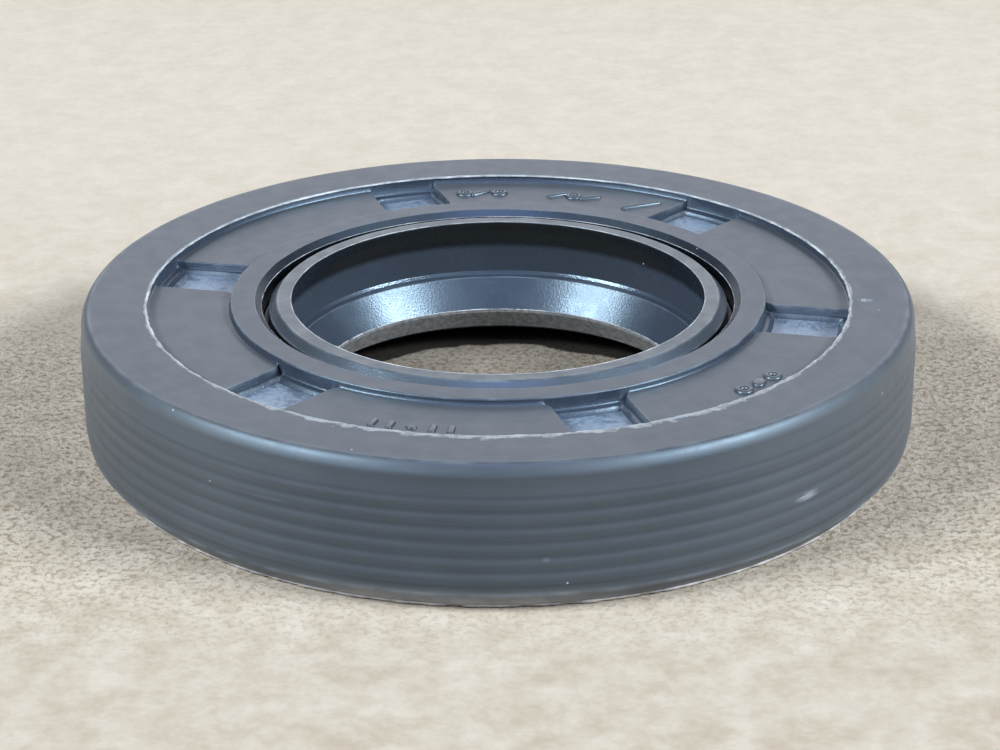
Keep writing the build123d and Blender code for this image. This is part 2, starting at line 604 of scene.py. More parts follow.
@dataclass(frozen=True)
class Pocket:
    """One locating pocket in a sector centred on it, and the lattice lines that follow its walls."""

    sizes: SealSizes
    half_width: float = 1.75
    depth: float = 0.37
    pad_corner: float = 0.65
    corner_reach: float = 0.5
    corner_start: float = 0.25
    window_half: float = 1.5
    window_inner: float = 0.4
    window_outer: float = 0.5
    window_margin: float = 0.3
    foot: float = 0.1
    curl: float = 0.29
    near_wall: float = 0.005
    draft: float = 0.02
    hold: float = 0.09
    sector: float = math.radians(60)
    fan: int = 9

    @property
    def window_drop(self) -> float:
        """How far the window's wall drops to the steel."""
        return self.sizes.pad_height - self.depth - self.sizes.case_top

    @property
    def wall(self) -> Step:
        """The step from a pad down to the pocket's ledge."""
        return Step(self.depth, round=0.06, draft=0.03, foot=0.07)

    @property
    def side_lip(self) -> Step:
        """The slope from the ledge down to the steel, at the window's sides."""
        return Step(self.window_drop, round=0.07, draft=0.03, lean=0.06, arcs=2)

    @property
    def end_lip(self) -> Step:
        """The slope from the ledge down to the steel, at the window's inner and outer ends."""
        return Step(self.window_drop, round=0.09, draft=0.03, lean=0.12, arcs=2)

    def pad_edge(self, radius: np.ndarray, offset: float) -> np.ndarray:
        """Follows a pad's edge, which curves away from the pocket near the raised ring.

        Args:
            radius: Radii at which the line is wanted.
            offset: Distance of the line from the edge, into the pad.

        Returns:
            Distance of the line from the pocket's middle plane at each radius.
        """
        foot = self.sizes.ring_outer
        start = math.sqrt(foot**2 - (self.half_width + self.corner_start) ** 2) + self.corner_reach
        reach = self.pad_corner - offset
        lateral = np.full_like(radius, self.half_width + offset)
        for _ in range(8):
            along = np.sqrt(np.maximum(radius**2 - lateral**2, 0))
            inside = np.clip(start - along, 0, 0.985 * reach)
            lateral = self.half_width + self.pad_corner - np.sqrt(reach**2 - inside**2)
        return lateral

    def columns(self, radius: np.ndarray, share: np.ndarray) -> tuple[np.ndarray, np.ndarray]:
        """Lays the lattice's columns over a sector.

        Args:
            radius: The radius of each row.
            share: How closely each row follows the pocket, from 0 for evenly spread columns to 1.

        Returns:
            The angle of each row and column, then each column's pocket share, window share and edge mark.
        """
        near = np.clip(radius, self.sizes.ring_outer, self.sizes.rim_inner)
        laterals = [np.full_like(near, self.window_half * k / 3) for k in range(3)]
        facts = [(1.0, 1.0, 0.0)] * 3
        for offset, drop, mark in reversed(self.side_lip.lines()):
            laterals.append(np.full_like(near, self.window_half - offset))
            facts.append((1.0, drop, mark))
        for offset, drop, mark in reversed(self.wall.lines()):
            laterals.append(self.pad_edge(near, -offset))
            facts.append((drop, 0.0, mark))
        tight = [np.arcsin(lateral / near) for lateral in laterals]
        half = self.sector / 2
        last = tight[-1]
        for k in range(1, self.fan + 1):
            tight.append(last * (1 - k / self.fan) + half * k / self.fan)
            facts.append((0.0, 0.0, 0.0))
        followed = np.array(tight).T
        even = np.linspace(0, half, followed.shape[1])[None, :]
        angles = followed * share[:, None] + even * (1 - share[:, None])
        listed = np.array(facts).T
        return np.hstack([-angles[:, :0:-1], angles]), np.hstack([listed[:, :0:-1], listed])

    def rows(self) -> tuple[np.ndarray, np.ndarray, np.ndarray]:
        """Lays the rows across the recess, from the rim's inner wall to the raised ring.

        Returns:
            The radius, the window share and the height above the pad of each row.
        """
        s = self.sizes
        outer = s.rim_inner - self.window_outer
        inner = s.ring_outer + self.window_inner
        lines = self.end_lip.lines()
        curl = self.curl * self.foot
        hollow = [
            (self.near_wall, self.foot), (self.draft + curl, curl), (self.draft + self.foot, 0.0)
        ]
        middle = np.linspace(outer - self.window_margin, inner + self.window_margin, 6)
        listed = [(s.rim_inner - reach, 0.0, lift) for reach, lift in hollow]
        listed += [(outer - offset, drop, 0.0) for offset, drop, _ in lines]
        listed += [(radius, 1.0, 0.0) for radius in middle]
        listed += [(inner + offset, drop, 0.0) for offset, drop, _ in reversed(lines)]
        listed.append((s.ring_outer + (self.window_inner + self.foot) / 2 - self.hold, 0.0, 0.0))
        listed += [(s.ring_outer + reach, 0.0, lift) for reach, lift in reversed(hollow)]
        radius, window, lift = np.array(listed).T
        return radius, window, lift


# Node trees


class Tree:
    """A shader or geometry node tree while it is built."""

    def __init__(self, tree: bpy.types.NodeTree) -> None:
        """Takes hold of the tree to add to."""
        self.tree = tree
        self.taken: list[Socket] = []

    @classmethod
    def group(cls, name: str, kind: str, **inputs: object) -> "Tree":
        """Starts a node group.

        Args:
            name: The group's name.
            kind: Shader or Geometry.
            **inputs: Name, with _ for a space, to a default number, or to a kind where there is none.

        Returns:
            The group, with the sockets of its inputs in taken.
        """
        made = cls(bpy.data.node_groups.new(name, f"{kind}NodeTree"))
        inlet = made.tree.nodes.new("NodeGroupInput")
        for label, value in inputs.items():
            sort = value if isinstance(value, str) else type(value).__name__.capitalize()
            label = label.replace("_", " ")
            socket = made.tree.interface.new_socket(label, in_out="INPUT", socket_type=f"NodeSocket{sort}")
            if sort != value:
                socket.default_value = value
        made.taken = [inlet.outputs[label.replace("_", " ")] for label in inputs]
        return made

    def gives(self, **outputs: Socket) -> bpy.types.NodeTree:
        """Puts sockets out of the group.

        Args:
            **outputs: Name to socket.

        Returns:
            The finished group.
        """
        outlet = self.tree.nodes.new("NodeGroupOutput")
        for label, value in outputs.items():
            sort = f"NodeSocket{SOCKET_KINDS[value.type]}"
            self.tree.interface.new_socket(label, in_out="OUTPUT", socket_type=sort)
            self.tree.links.new(value, outlet.inputs[label])
        return self.tree

    def feed(self, node: bpy.types.Node, feeds: dict) -> None:
        """Feeds a node's inputs.

        Args:
            node: The node.
            feeds: Input name or number to a socket or a plain value.
        """
        for key, value in feeds.items():
            if isinstance(value, Socket):
                self.tree.links.new(value, node.inputs[key])
            else:
                node.inputs[key].default_value = value

    def add(self, kind: str, feeds: dict | None = None, **settings: object) -> bpy.types.Node:
        """Adds a node.

        Args:
            kind: Blender's name for the node.
            feeds: Input name or number to a socket or a plain value.
            **settings: The node's own options, set before it is fed.

        Returns:
            The node.
        """
        node = self.tree.nodes.new(kind)
        for option, value in settings.items():
            setattr(node, option, value)
        self.feed(node, feeds or {})
        return node

    def effect(self, group: bpy.types.NodeTree, **feeds: object) -> bpy.types.NodeOutputs:
        """Places a shared shader group and gives its outputs."""
        return self.add("ShaderNodeGroup", feeds, node_tree=group).outputs

    def maths(self, operation: str, *values: object, clamp: bool = False) -> Socket:
        """Adds a Math node and gives its result."""
        feeds = dict(enumerate(values))
        return self.add("ShaderNodeMath", feeds, operation=operation, use_clamp=clamp).outputs[0]

    def times(self, *values: object) -> Socket:
        """Multiplies two or more numbers."""
        return reduce(lambda first, second: self.maths("MULTIPLY", first, second), values)

    def vector(self, operation: str, *values: object) -> Socket:
        """Adds a Vector Math node and gives its result, a number for a length or a dot product."""
        node = self.add("ShaderNodeVectorMath", dict(enumerate(values)), operation=operation)
        return node.outputs["Value" if operation in ("LENGTH", "DOT_PRODUCT") else "Vector"]

    def scaled(self, vector: object, factor: object) -> Socket:
        """Multiplies a vector by a number."""
        return self.add("ShaderNodeVectorMath", {0: vector, "Scale": factor}, operation="SCALE").outputs[0]

    def split(self, vector: Socket) -> bpy.types.NodeOutputs:
        """Takes a vector apart into X, Y and Z."""
        return self.add("ShaderNodeSeparateXYZ", {"Vector": vector}).outputs

    def join(self, **parts: object) -> Socket:
        """Makes a vector from any of X, Y and Z."""
        return self.add("ShaderNodeCombineXYZ", parts).outputs[0]

    def ramp(
        self, value: object, start: object, end: object, low: object = 0.0, high: object = 1.0
    ) -> Socket:
        """Maps a value smoothly from one range to another.

        Args:
            value: The value to map.
            start: Where the ramp begins.
            end: Where it ends.
            low: What it gives at the start and before.
            high: What it gives at the end and beyond.

        Returns:
            The mapped value.
        """
        feeds = {"Value": value, "From Min": start, "From Max": end, "To Min": low, "To Max": high}
        return self.add("ShaderNodeMapRange", feeds, interpolation_type="SMOOTHSTEP").outputs["Result"]

    def between(self, share: object, low: object, high: object) -> Socket:
        """Gives a smooth share of the way from a low value to a high one."""
        return self.ramp(share, 0.0, 1.0, low, high)

    def coats(self, colour: object, *coats: tuple[object, object]) -> Socket:
        """Lays colours over a colour.

        Args:
            colour: The ground, as a socket or as a screen shows it.
            *coats: The mask and the colour of each coat, from the ground up.

        Returns:
            The colour that shows.
        """
        for share, coat in coats:
            under, over = (tone if isinstance(tone, Socket) else linear(tone) for tone in (colour, coat))
            colour = self.add("ShaderNodeMix", {0: share, 6: under, 7: over}, data_type="RGBA").outputs[2]
        return colour

    def noise(
        self, vector: Socket, scale: object, detail: float, roughness: float = 0.5, **more: object
    ) -> Socket:
        """Adds a noise and gives its value.

        Args:
            vector: Where it is read.
            scale: Its scale.
            detail: Its octaves.
            roughness: How strong its fine octaves are.
            **more: W, which makes it four-dimensional, or Distortion.

        Returns:
            The value, about 0.5 on average.
        """
        feeds = {"Vector": vector, "Scale": scale, "Detail": detail, "Roughness": roughness, **more}
        size = "4D" if "W" in more else "3D"
        return self.add("ShaderNodeTexNoise", feeds, noise_dimensions=size).outputs["Fac"]

    def circle(self, points: object, radius: object) -> Socket:
        """Draws a circle as a curve."""
        feeds = {"Resolution": points, "Radius": radius}
        return self.add("GeometryNodeCurvePrimitiveCircle", feeds).outputs[0]

    def dressed(self, geometry: Socket, material: Socket) -> bpy.types.NodeTree:
        """Ends a geometry group.

        Args:
            geometry: What it made.
            material: The material that it takes.

        Returns:
            The finished group, with its instances made real and its material set.
        """
        plain = self.add("GeometryNodeRealizeInstances", {"Geometry": geometry}).outputs[0]
        feeds = {"Geometry": plain, "Material": material}
        return self.gives(Geometry=self.add("GeometryNodeSetMaterial", feeds).outputs[0])


@dataclass(frozen=True)
class Effects:
    """The shader node groups that several finishes share, each built once."""

    @cache
    def place(self) -> bpy.types.NodeTree:
        """Says where a point is on the seal.

        Returns:
            The group, with the point, its radius and height in mm, and its direction from the axis.
        """
        tree = Tree.group("place on the seal", "Shader")
        point = tree.scaled(tree.add("ShaderNodeTexCoord").outputs["Object"], 1 / MM)
        parts = tree.split(point)
        flat = tree.join(X=parts["X"], Y=parts["Y"])
        radius, direction = tree.vector("LENGTH", flat), tree.vector("NORMALIZE", flat)
        return tree.gives(Point=point, Radius=radius, Height=parts["Z"], Direction=direction)

    @cache
    def upward(self) -> bpy.types.NodeTree:
        """Says how nearly the surface faces up.

        Returns:
            The group, with 1 where it does and 0 on a slope.
        """
        tree = Tree.group("facing up", "Shader")
        rise = tree.vector("DOT_PRODUCT", tree.add("ShaderNodeNewGeometry").outputs["Normal"], UP)
        return tree.gives(Value=tree.ramp(rise, 0.8, 0.97))

    @cache
    def streaks(self) -> bpy.types.NodeTree:
        """Draws noise out round the axis, with no seam, as tool marks and flow lines are.

        Returns:
            The group, with the noise.
        """
        tree = Tree.group("streaks round the axis", "Shader", Across=6.0, Around=3.0, Seed=0.0)
        across, around, seed = tree.taken
        place = tree.effect(self.place())
        turned = tree.split(tree.scaled(place["Direction"], around))
        out, up = (tree.times(place[name], across) for name in ("Radius", "Height"))
        shift = tree.maths("ADD", turned["Y"], seed)
        return tree.gives(Value=tree.noise(tree.join(X=out, Y=up, Z=turned["X"]), 1.0, 3.0, W=shift))

    @cache
    def mottle(self) -> bpy.types.NodeTree:
        """Makes soft uneven patches.

        Returns:
            The group, with a value from 0 to 1.
        """
        tree = Tree.group("mottle", "Shader", Size=4.0, Seed=0.0)
        size, seed = tree.taken
        moved = tree.vector("ADD", tree.effect(self.place())["Point"], tree.join(Z=seed))
        value = tree.noise(moved, tree.maths("DIVIDE", 1.0, size), 4.0, 0.55)
        return tree.gives(Value=tree.ramp(value, 0.3, 0.7))

    @cache
    def specks(self) -> bpy.types.NodeTree:
        """Scatters small specks of dust, with most places left clean.

        Returns:
            The group, with 1 on a speck.
        """
        tree = Tree.group("dust specks", "Shader", Spacing=1.0, Size=0.06, Share=0.2)
        spacing, size, share = tree.taken
        point = tree.effect(self.place())["Point"]
        feeds = {"Vector": point, "Scale": tree.maths("DIVIDE", 1.0, spacing)}
        cells = tree.add("ShaderNodeTexVoronoi", feeds).outputs
        chance = tree.add("ShaderNodeSeparateColor", {"Color": cells["Color"]}).outputs
        reach = tree.times(size, tree.between(chance["Green"], 0.4, 1.4))
        spot = tree.ramp(tree.times(cells["Distance"], spacing), tree.times(reach, 0.5), reach, 1.0, 0.0)
        return tree.gives(Mask=tree.times(spot, tree.maths("LESS_THAN", chance["Red"], share)))

    @cache
    def scuff(self) -> bpy.types.NodeTree:
        """Rubs a streak at one place, drawn out round the axis and broken up.

        Returns:
            The group, with 1 in the streak.
        """
        tree = Tree.group("scuff", "Shader", Where="Vector", Length=1.0, Breadth=0.3)
        where, length, breadth = tree.taken
        away = tree.vector("SUBTRACT", tree.effect(self.place())["Point"], where)
        along = tree.vector("NORMALIZE", tree.vector("CROSS_PRODUCT", UP, where))
        run = tree.vector("DOT_PRODUCT", away, along)
        rest = tree.vector("LENGTH", tree.vector("SUBTRACT", away, tree.scaled(along, run)))
        reach = tree.join(X=tree.maths("DIVIDE", run, length), Y=tree.maths("DIVIDE", rest, breadth))
        spot = tree.ramp(tree.vector("LENGTH", reach), 0.2, 1.0, 1.0, 0.0)
        ragged = tree.effect(self.streaks(), Across=9.0, Around=14.0, Seed=4.0)["Value"]
        return tree.gives(Mask=tree.times(spot, tree.ramp(ragged, 0.36, 0.58)))

    @cache
    def grain(self) -> bpy.types.NodeTree:
        """Makes the fine skin of a moulded surface.

        Returns:
            The group, with the skin's height.
        """
        tree = Tree.group("moulded grain", "Shader", Size=0.12, Flow=0.4)
        size, flow = tree.taken
        point = tree.effect(self.place())["Point"]
        pits = tree.noise(point, tree.maths("DIVIDE", 1.0, size), 2.0, 0.6)
        lines = tree.effect(self.streaks(), Across=7.0, Around=2.0, Seed=9.0)["Value"]
        return tree.gives(Height=tree.maths("ADD", pits, tree.times(lines, flow)))

    @cache
    def worn_edge(self) -> bpy.types.NodeTree:
        """Paints pale highlights in patches along the convex edges, from the mesh's own edge attribute.

        Returns:
            The group, with 1 where an edge gets its painted highlight.
        """
        tree = Tree.group("worn edge", "Shader", Amount=0.5)
        edge = tree.add("ShaderNodeAttribute", attribute_name=EDGE).outputs["Fac"]
        patches = tree.effect(self.mottle(), Size=1.6, Seed=7.0)["Value"]
        return tree.gives(Mask=tree.times(edge, patches, *tree.taken))


EFFECTS = Effects()


class Material(Tree):
    """A material with a Principled shader, while it is built."""

    def __init__(self, name: str) -> None:
        """Starts the material.

        Args:
            name: Its name.
        """
        self.material = bpy.data.materials.new(name)
        self.material.use_nodes = True
        super().__init__(self.material.node_tree)

    def mottle(self, size: float, seed: float) -> Socket:
        """Gives soft uneven patches."""
        return self.effect(EFFECTS.mottle(), Size=size, Seed=seed)["Value"]

    def streaks(self, across: float, around: float, seed: float) -> Socket:
        """Gives streaks round the axis."""
        return self.effect(EFFECTS.streaks(), Across=across, Around=around, Seed=seed)["Value"]

    def grain(self, size: float, flow: float) -> Socket:
        """Gives the height of a moulded skin."""
        return self.effect(EFFECTS.grain(), Size=size, Flow=flow)["Height"]

    def finish(self, feeds: dict, height: Socket | None = None, depth: float = 0.0) -> bpy.types.Material:
        """Feeds the shader.

        Args:
            feeds: Input name to a socket or a plain value.
            height: The surface's fine height, if it has one.
            depth: How deep that is, in mm.

        Returns:
            The material.
        """
        if height is not None:
            relief = {"Height": height, "Distance": depth * MM, "Strength": 1.0}
            feeds["Normal"] = self.add("ShaderNodeBump", relief).outputs[0]
        self.feed(self.tree.nodes["Principled BSDF"], feeds)
        return self.material


# Finishes


@dataclass(frozen=True)
class Scuff:
    """A rubbed place on the rubber: where it is, its half length and breadth, and how strongly it shows."""

    where: tuple[float, float, float]
    length: float
    breadth: float
    strength: float


@dataclass
class Rubber(Material):
    """The rubber's material while it is built, with masks of the places that look different."""

    name: str
    sizes: SealSizes
    slack: float = 0.02
    torn_depth: float = 0.12
    torn_outside: float = 0.1

    def __post_init__(self) -> None:
        """Starts the material and places the groups that say where a point is and how it faces."""
        super().__init__(self.name)
        place = self.effect(EFFECTS.place())
        self.radius, self.height, self.direction = place["Radius"], place["Height"], place["Direction"]
        self.facing = self.effect(EFFECTS.upward())["Value"]

    def toward(self, x: float, y: float) -> Socket:
        """Says how nearly a place lies in a direction from the axis."""
        return self.vector("DOT_PRODUCT", self.direction, (x, y, 0.0))

    def haze(self, flats: float = 0.25, lines: float = 0.15, sides: float = 0.32) -> Socket:
        """Marks where the rubber is paled: bloom in the flow lines, bloom that is partly painted light on
        the faces that turn up, and painted light on the upright faces at the left and right.

        Args:
            flats: How strong it is on the flats.
            lines: How strong it is in the flow lines.
            sides: How strong the painted light is on the upright faces at the left and right.

        Returns:
            How hazy each place is.
        """
        flow = self.ramp(self.streaks(across=4.0, around=3.0, seed=2.0), 0.4, 0.8)
        # Faces that turn up take bloom, which also serves as painted light on the flats.
        hazy = self.maths("ADD", self.times(flow, lines), self.times(self.facing, flats))
        # Painted light: the upright faces at the left and right are paled as if lit from the sides.
        painted_side_light_facing = self.maths("ABSOLUTE", self.toward(1.0, 0.0))
        upright = self.maths("SUBTRACT", 1.0, self.facing)
        return self.maths("ADD", hazy, self.times(upright, self.ramp(painted_side_light_facing, 0.3, 0.65, 0.0, sides)))

    def zone(self, radius: Span = (None, None), height: Span = (None, None)) -> Socket:
        """Marks a stretch of radii and heights.

        Args:
            radius: Its least and greatest radius, or None for each end that is open.
            height: Its least and greatest height, in the same way.

        Returns:
            1 in it and 0 elsewhere.
        """
        marks = []
        for value, (low, high) in ((self.radius, radius), (self.height, height)):
            if low is not None:
                marks.append(self.maths("GREATER_THAN", value, low))
            if high is not None:
                marks.append(self.maths("LESS_THAN", value, high))
        return self.times(*marks)

    def flats(self) -> Socket:
        """Marks the dull places: the flats of the air side, and the whole outside.

        Returns:
            1 on them and 0 in the recesses and the bore.
        """
        high = self.zone(height=(self.sizes.pad_height - self.slack, None))
        outside = self.zone((self.sizes.rim_inner + self.slack, None))
        return self.maths("MAXIMUM", self.times(self.facing, high), outside)

    def torn_rim(self) -> Socket:
        """Marks the ragged pale line of torn flash on the rim's inner edge, widest at the front.

        Returns:
            How pale each place is.
        """
        forward = self.toward(0.1, -0.995)
        narrow, wide = self.ramp(forward, -0.4, 0.5, 0.1, 0.24), self.ramp(forward, 0.55, 0.85, 0.0, 0.4)
        ragged = self.ramp(self.streaks(across=1.5, around=20.0, seed=14.0), 0.36, 0.66, 0.3, 1.0)
        reach = self.times(ragged, self.maths("ADD", narrow, wide))
        away = self.maths("SUBTRACT", self.radius, self.sizes.rim_inner)
        band = self.ramp(away, self.times(reach, 0.5), reach, 1.0, 0.0)
        shown = self.ramp(self.mottle(size=0.5, seed=15.0), 0.1, 0.8, 0.4, 0.85)
        beside = (self.sizes.rim_inner - self.torn_outside, None)
        return self.times(band, shown, self.zone(beside, (self.sizes.width - self.torn_depth, None)))

    def heel_dust(self) -> Socket:
        """Marks the pale dust that clings to the lead-in, thickest at the front.

        Returns:
            How dusty each place is.
        """
        s = self.sizes
        low = self.ramp(self.height, 0.1, s.lowest_rib - s.rib_pitch / 2, 1.0, 0.0)
        near = self.ramp(self.height, 0.1, s.lead_in_length * 0.7, 1.0, 0.0)
        front = self.ramp(self.toward(-0.1, -0.995), 0.9, 0.995)
        amount = self.maths("ADD", self.times(low, front), self.times(near, 0.35), clamp=True)
        outside = self.zone((s.land - s.lead_in_depth - 0.1, None))
        return self.times(amount, outside, self.between(self.mottle(size=1.4, seed=6.0), 0.5, 0.85))

    def grooves(self) -> Socket:
        """Marks the valleys between the ribs, which get painted shade that makes them darker than their
        crests.

        Returns:
            How far each place lies in a valley.
        """
        s = self.sizes
        turn = self.maths("SUBTRACT", self.height, s.lowest_rib)
        wave = self.maths("COSINE", self.times(turn, 2 * math.pi / s.rib_pitch))
        ends = (s.lowest_rib - 0.6 * s.rib_pitch, s.lowest_rib + (s.rib_count - 0.4) * s.rib_pitch)
        return self.times(self.ramp(wave, -1.0, -0.2, 0.3, 0.0), self.zone((s.land - 0.05, None), ends))

    def flex(self) -> Socket:
        """Marks the step between the membrane and the cone, which is the glossiest place.

        Returns:
            1 on the step and 0 elsewhere.
        """
        facet = self.sizes.flex_facet[1]
        away = self.maths("ABSOLUTE", self.maths("SUBTRACT", self.height, self.sizes.flex_top - facet / 2))
        return self.ramp(away, facet * 0.6, facet, 1.0, 0.0)

    def scuffed(self, scuffs: Iterable[Scuff]) -> Socket:
        """Adds up the scuffs.

        Args:
            scuffs: The scuffs.

        Returns:
            How rubbed each place is.
        """
        total: object = 0.0
        for scuff in scuffs:
            feeds = {"Where": scuff.where, "Length": scuff.length, "Breadth": scuff.breadth}
            shown = self.times(self.effect(EFFECTS.scuff(), **feeds)["Mask"], scuff.strength)
            total = self.maths("MAXIMUM", total, shown)
        return total


@dataclass(frozen=True)
class RubberFinish:
    """Moulded blue-grey rubber: bloomed and dull on the flats and outside, glossy in the bore, with painted
    light, painted shade and painted edge highlights in its colour.
    """

    dark: Colour = (56, 61, 68)
    light: Colour = (64, 69, 76)
    wall: Colour = (50, 58, 71)
    # Painted shade for the gap and the hollow under the dust lip.
    shade: Colour = (12, 14, 18)
    shoulder: Colour = (62, 68, 77)
    # Painted shade on the raised ring's inner chamfer.
    chamfer: Colour = (33, 38, 47)
    bore: Colour = (55, 63, 76)
    # Bloom, also laid as painted light on the faces that turn up and on the upright faces at the left and
    # right.
    bloom: Colour = (92, 96, 102)
    # Painted shade in the valleys between the ribs.
    groove: Colour = (34, 38, 45)
    # Trimmed rubber, made paler as painted light in place of the light that the floor throws up onto the oil
    # face; also laid in patches on the dust lip's face.
    trimmed: Colour = (103, 105, 107)
    # Rubbed rubber for the scuffs, and the colour of the painted highlight on the convex edges.
    cut: Colour = (140, 141, 144)
    rubbed: Colour = (150, 160, 172)
    torn: Colour = (156, 160, 165)
    heel: Colour = (158, 160, 166)
    dust: Colour = (205, 208, 210)
    glint: tuple[float, float, float, float] = (0.62, 0.83, 1.0, 1.0)
    sheen: float = 0.64
    satin: float = 0.42
    gloss: float = 0.255
    slick: float = 0.12
    uneven: float = 0.03
    roughened: float = 0.2
    # Strength of the painted highlight on the convex edges.
    wear: float = 0.3
    skin_depth: float = 0.006
    recess_skin: float = 1.6
    recessed: bool = True
    scuffs: tuple[Scuff, ...] = (
        Scuff(polar(20.0, -47.8, 3.05), 1.0, 0.28, 0.95),
        Scuff(polar(19.8, -88.0, 6.6), 0.22, 0.16, 0.6),
        Scuff(polar(20.0, -84.4, 2.6), 0.3, 0.16, 0.35),
        Scuff(polar(20.0, -121.0, 4.4), 1.8, 0.14, 0.3),
        Scuff(polar(17.6, -5.5, 7.0), 0.3, 0.5, 0.9),
        Scuff(polar(16.95, -109.0, 7.0), 1.0, 0.26, 0.9),
        Scuff(polar(16.95, -94.0, 7.0), 1.2, 0.2, 0.8),
        Scuff(polar(17.0, -118.0, 7.0), 1.6, 0.22, 0.7),
        Scuff(polar(16.95, -62.0, 7.0), 1.4, 0.24, 0.9),
    )

    def material(self, sizes: SealSizes, name: str = "moulded rubber") -> bpy.types.Material:
        """Makes the material.

        Args:
            sizes: The seal's sizes, which say where the flats and the recesses are.
            name: The material's name.

        Returns:
            The rubber.
        """
        s = sizes
        made = Rubber(name, s)
        patches = made.mottle(size=7.0, seed=1.0)
        # Bloom over the mottle, with painted light where the haze marks faces that turn up or face left and
        # right.
        colour = made.coats(self.dark, (patches, self.light), (made.haze(), self.bloom))
        dull: object = 1.0
        if self.recessed:
            dull = made.flats()
            haze = made.between(made.mottle(size=1.0, seed=23.0), 0.2, 0.85)
            hazed = made.coats(colour, (made.times(made.zone((None, s.gap_inner)), haze), self.trimmed))
            # The oil face: trimmed rubber with cut patches, both paled by painted light.
            oil_face = made.zone((None, s.lip_radius + s.oil_face[0]), (None, s.lip_land_top))
            colour = made.coats(
                self.recess(made),
                (dull, hazed),
                (oil_face, made.coats(self.trimmed, (made.mottle(size=0.28, seed=17.0), self.cut))),
                (made.torn_rim(), self.torn),
                (made.heel_dust(), self.heel),
                # Painted shade in the rib valleys.
                (made.grooves(), self.groove),
            )
        scuffed = made.scuffed(self.scuffs)
        # Painted highlight on the convex edges; the scuffs below are rubbed places.
        worn = made.effect(EFFECTS.worn_edge(), Amount=self.wear)["Mask"]
        specks = made.effect(EFFECTS.specks(), Spacing=0.9, Size=0.045, Share=0.24)["Mask"]
        colour = made.coats(colour, (worn, self.rubbed), (scuffed, self.rubbed), (specks, self.dust))
        glossy = made.between(made.flex(), self.gloss, self.slick)
        uneven = made.between(made.mottle(size=1.1, seed=3.0), -self.uneven, self.uneven)
        rough = made.maths("ADD", made.between(dull, glossy, self.satin), uneven)
        feeds = {
            "Base Color": colour,
            "Roughness": made.maths("ADD", rough, made.times(scuffed, self.roughened), clamp=True),
            "Specular Tint": self.glint,
            "Specular IOR Level": self.sheen,
        }
        skin = made.times(made.grain(size=0.11, flow=0.1), made.between(dull, self.recess_skin, 1.0))
        return made.finish(feeds, skin, self.skin_depth)

    def recess(self, made: Rubber) -> Socket:
        """Colours what lies below the flats: the pocket walls, the dust lip's shoulder and the bore, with
        painted shade in the gap, in the hollow under the dust lip and on the raised ring's chamfer.

        Args:
            made: The material while it is built.

        Returns:
            The colour.
        """
        s = made.sizes
        ring = s.ring_inner - made.slack
        shoulder = (s.dust_lip[0] + s.dust_face - 0.12, s.gap_inner + 0.03)
        low = made.ramp(made.height, s.dust_root - 0.25, s.dust_root + 0.15, 1.0, 0.0)
        return made.coats(
            self.wall,
            # Painted shade in the gap and the hollow under the dust lip.
            (made.zone((None, ring), (s.ceiling + 0.1, None)), self.shade),
            (made.zone(shoulder, (s.dust_tip - s.shoulder_drop - 0.04, None)), self.shoulder),
            # Painted shade on the raised ring's chamfer.
            (made.zone((s.gap_outer, ring), (s.ring_foot, None)), self.chamfer),
            (made.times(made.zone((None, s.gap_inner - 0.3)), low), self.bore),
        )


@dataclass(frozen=True)
class FlashFinish:
    """Thin rubber flash: paler than the body, and whitened where it was torn."""

    name: str = "rubber flash"
    body: Colour = (128, 136, 146)
    torn: Colour = (208, 213, 217)
    roughness: float = 0.38

    def material(self) -> bpy.types.Material:
        """Makes the material.

        Returns:
            The flash's rubber.
        """
        made = Material(self.name)
        colour = made.coats(self.body, (made.mottle(size=1.2, seed=5.0), self.torn))
        return made.finish({"Base Color": colour, "Roughness": self.roughness})


@dataclass(frozen=True)
class CaseFinish:
    """Pressed steel with the dull blue-grey coat that bonds the rubber to it, streaked and smeared."""

    coat: Colour = (113, 129, 150)
    pale: Colour = (140, 156, 176)
    smear: Colour = (74, 86, 106)
    metal: float = 0.35
    roughness: tuple[float, float] = (0.3, 0.5)
    skin_depth: float = 0.02

    def material(self) -> bpy.types.Material:
        """Makes the material.

        Returns:
            The coated steel.
        """
        made = Material("coated case steel")
        streaks = made.ramp(made.streaks(across=9.0, around=60.0, seed=11.0), 0.34, 0.66)
        smears = made.ramp(made.mottle(size=0.8, seed=12.0), 0.72, 0.95, 0.0, 0.6)
        feeds = {
            "Base Color": made.coats(self.coat, (streaks, self.pale), (smears, self.smear)),
            "Roughness": made.between(streaks, *self.roughness),
            "Metallic": self.metal,
        }
        return made.finish(feeds, made.grain(size=0.25, flow=0.3), self.skin_depth)


@dataclass(frozen=True)
class WireFinish:
    """Drawn spring wire: bright, lightly stained."""

    bright: Colour = (176, 178, 180)
    stained: Colour = (120, 116, 110)
    roughness: tuple[float, float] = (0.25, 0.4)

    def material(self) -> bpy.types.Material:
        """Makes the material.

        Returns:
            The wire's steel.
        """
        made = Material("spring wire")
        stains = made.mottle(size=2.5, seed=21.0)
        colour = made.coats(self.bright, (stains, self.stained))
        rough = made.between(stains, *self.roughness)
        return made.finish({"Base Color": colour, "Roughness": rough, "Metallic": 1.0})


